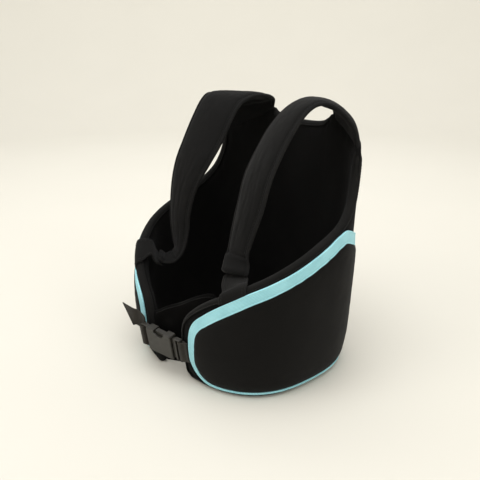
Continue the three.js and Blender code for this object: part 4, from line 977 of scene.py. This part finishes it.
def make_tab(hand, side):
    free = TAB_FREE if hand > 0 else TAB_FREE_RIGHT
    edges = []
    for sign in (-1, 1):
        q = TAB["q"][hand] + sign * TAB["width"] / 2
        pts = [tuple(on_wall(hand, q, float(rim_at(hand, q)) + ab, h)) for ab, h, _ in TAB_ON_WALL]
        for x, y, z, wx, wy, wz, _ in free:
            d = np.array([hand * wx, wy, wz])
            d /= np.linalg.norm(d)
            pts.append(tuple(np.array([hand * x, y + FRAME_Y, z]) + d * sign * TAB["width"] / 2))
        edges.append(pts)
    t = np.linspace(0, 1, 70)
    a, b = catmull(edges[0], t), catmull(edges[1], t)
    rows = [(i / 6, r[-1]) for i, r in enumerate(TAB_ON_WALL + free)]
    bow = through(rows)(t)
    # the free end narrows to its corners
    narrow = smooth((t - 0.84) / 0.16)[:, None]
    a, b = a + (b - a) * 0.20 * narrow, b - (b - a) * 0.08 * narrow
    if hand < 0:
        a, b = b, a
    ob, (a, c, u, w, lift) = flat_strip("tab_" + side, a, b, TAB["thick"], bow, tab_cloth)
    keep(ob, ["anchor_tab_" + side])
    for tag, share in (("inner", 0.12), ("outer", 0.88)):
        sx = 2 * share - 1
        line = a + c * (w * share)[:, None] + u * (bow * (1 - sx * sx) + TAB["thick"] / 2)[:, None]
        keep(seam_stitches(f"tab_stitch_{side}_{tag}", line[2:-3], u[2:-3], black_thread, pitch=3.2, length=2.3, radius=0.42))


make_tab(1, "left")
make_tab(-1, "right")

# ------------------------------------------------------------------ buckle and webbing
bu = np.array([math.cos(BUCKLE_TURN), math.sin(BUCKLE_TURN), 0])
bo = np.array([math.sin(BUCKLE_TURN), -math.cos(BUCKLE_TURN), 0])
bv = np.array([0, 0, 1]) * math.cos(BUCKLE_LEAN) + bo * math.sin(BUCKLE_LEAN)
bw = bo * math.cos(BUCKLE_LEAN) - np.array([0, 0, 1]) * math.sin(BUCKLE_LEAN)


def in_buckle(u, v, w):
    return BUCKLE_AT + np.asarray(u, float)[..., None] * bu + np.asarray(v, float)[..., None] * bv + np.asarray(w, float)[..., None] * bw


for name in ("buckle_female", "buckle_male"):
    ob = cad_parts[name]
    ob.data.materials.clear()
    ob.data.materials.append(plastic)
    bevel = ob.modifiers.new("softened_edges", "BEVEL")
    bevel.width, bevel.segments, bevel.limit_method, bevel.angle_limit = 0.0004, 2, "ANGLE", math.radians(35)
    bevel.harden_normals = False


def web_band(name, path, material, wide=30.0, thick=1.6, step=1.0):
    """Webbing along a path in the buckle's (u, w) plane."""
    pts = np.array(path, float)
    fine = catmull([(p[0], p[1], 0) for p in pts], np.linspace(0, 1, 24 * len(pts)))[:, :2]
    fine, _ = spaced(fine, step=step)
    a = in_buckle(fine[:, 0], np.full(len(fine), -wide / 2), fine[:, 1])
    b = in_buckle(fine[:, 0], np.full(len(fine), wide / 2), fine[:, 1])
    ob, _ = flat_strip(name, a, b, thick, np.zeros(len(fine)), material, cells=18)
    return ob


keep(web_band("webbing_loop_left", [(47.9, -6.1), (44, -6.6), (40, -7.1), (37.0, -7.35), (34.9, -7.2), (33.9, -6.2), (33.9, -3.8), (34.9, -2.6), (37, -2.5), (39.2, -2.6), (41, -3.5), (43.4, -4.6), (47.9, -4.9)], web_cloth, thick=1.35), ["webbing_left"])
keep(web_band("webbing_loop_right", [(-34.5, -13.3), (-32.6, -12.5), (-30.4, -10.9), (-29.4, -8.4), (-29.4, -5.2), (-31.2, -2.4), (-36.6, -2.4), (-38.0, -4.6), (-38.0, -7.2)], web_cloth), ["webbing_right"])
TAIL = [(-34.6, 9.5, -11.1, 14.5, 14.2), (-38.6, 13.4, -10.9, 15, 14.5), (-44, 18, -9.6, 15, 14.5), (-50, 21, -6.6, 15, 12.5)]
t = np.linspace(0, 1, 40)
up_edge = [tuple(in_buckle(r[0], r[1] + r[3], r[2])) for r in TAIL] + [tuple(in_buckle(-70.5, 38.5, -6.8))]
down_edge = [tuple(in_buckle(r[0], r[1] - r[4], r[2])) for r in TAIL] + [tuple(in_buckle(-52.0, 9.0, -3.2))]
tail, _ = flat_strip("webbing_tail_end", catmull(up_edge, t), catmull(down_edge, t), 1.6, np.zeros(40), web_cloth, cells=18)
keep(tail, ["webbing_tail"])

# ------------------------------------------------------------------ floor, light and camera
m, nt, b = new_material("floor_paper")
where = node(nt, "ShaderNodeTexCoord").outputs["Object"]
tone = node(nt, "ShaderNodeTexNoise", {"Vector": where, "Scale": 3.0, "Detail": 2.0}).outputs["Fac"]
ramp = node(nt, "ShaderNodeValToRGB", {"Fac": tone})
ramp.color_ramp.elements[0].color, ramp.color_ramp.elements[1].color = (0.665, 0.645, 0.585, 1), (0.685, 0.665, 0.605, 1)
nt.links.new(ramp.outputs["Color"], b.inputs["Base Color"])
b.inputs["Roughness"].default_value = 0.9
b.inputs["Specular IOR Level"].default_value = 0.1
profile = [(0.001, 0.0), (0.6, 0.0), (1.2, 0.0), (2.2, 0.0)] + [(2.2 + 1.4 * math.sin(a), 1.4 - 1.4 * math.cos(a)) for a in np.linspace(0.12, math.pi / 2, 14)] + [(3.6, 1.9)]
NA = 96
ang = np.linspace(0, 2 * np.pi, NA, endpoint=False)
V3 = np.array([[(r * math.cos(a), r * math.sin(a), z) for r, z in profile] for a in ang]) * 1000
floor_me = bpy.data.meshes.new("floor")
floor_me.from_pydata((V3.reshape(-1, 3) * MM).tolist(), [], grid_faces(NA, len(profile), True, False)[:, ::-1].tolist() + [list(range(0, NA * len(profile), len(profile)))])
floor_me.polygons.foreach_set("use_smooth", np.full(len(floor_me.polygons), True))
floor = bpy.data.objects.new("floor", floor_me)
scene.collection.objects.link(floor)
floor_me.materials.append(m)


def area(name, at, target, size, power, colour=(1, 1, 1)):
    li = bpy.data.lights.new(name, "AREA")
    li.shape, li.size, li.energy, li.color = "DISK", size, power, colour
    ob = bpy.data.objects.new(name, li)
    ob.location = at
    ob.rotation_euler = (Vector(target) - Vector(at)).to_track_quat("-Z", "Y").to_euler()
    scene.collection.objects.link(ob)


area("softbox_top", (0.25, -0.35, 2.1), (0, 0, 0.15), 1.7, 21)
area("softbox_front", (-0.5, -1.7, 1.1), (0, 0, 0.15), 1.1, 8, (1.0, 0.98, 0.95))
area("softbox_side", (1.9, 0.35, 1.0), (0, 0, 0.15), 1.0, 6, (1.0, 0.99, 0.97))
area("backdrop_fill", (-0.9, 0.75, 2.4), (-2.7, 2.15, 0.55), 1.8, 24)
world = bpy.data.worlds.new("studio")
scene.world = world
world.use_nodes = True
world.node_tree.nodes["Background"].inputs["Color"].default_value = (1.0, 0.985, 0.95, 1)
world.node_tree.nodes["Background"].inputs["Strength"].default_value = 0.98
scene.view_settings.view_transform = "Standard"

cam = bpy.data.cameras.new("camera")
cam.lens, cam.sensor_width, cam.sensor_fit = 36 * 528.76 / 480, 36, "HORIZONTAL"
cam_ob = bpy.data.objects.new("camera", cam)
cam_ob.location = (0.5504, -0.4234, 0.4066)
aim = Vector((-0.00064, 0.014315, 0.15904)) - Vector(cam_ob.location)
cam_ob.rotation_euler = aim.to_track_quat("-Z", "Y").to_euler()
cam.clip_start = 0.01
scene.collection.objects.link(cam_ob)
scene.camera = cam_ob
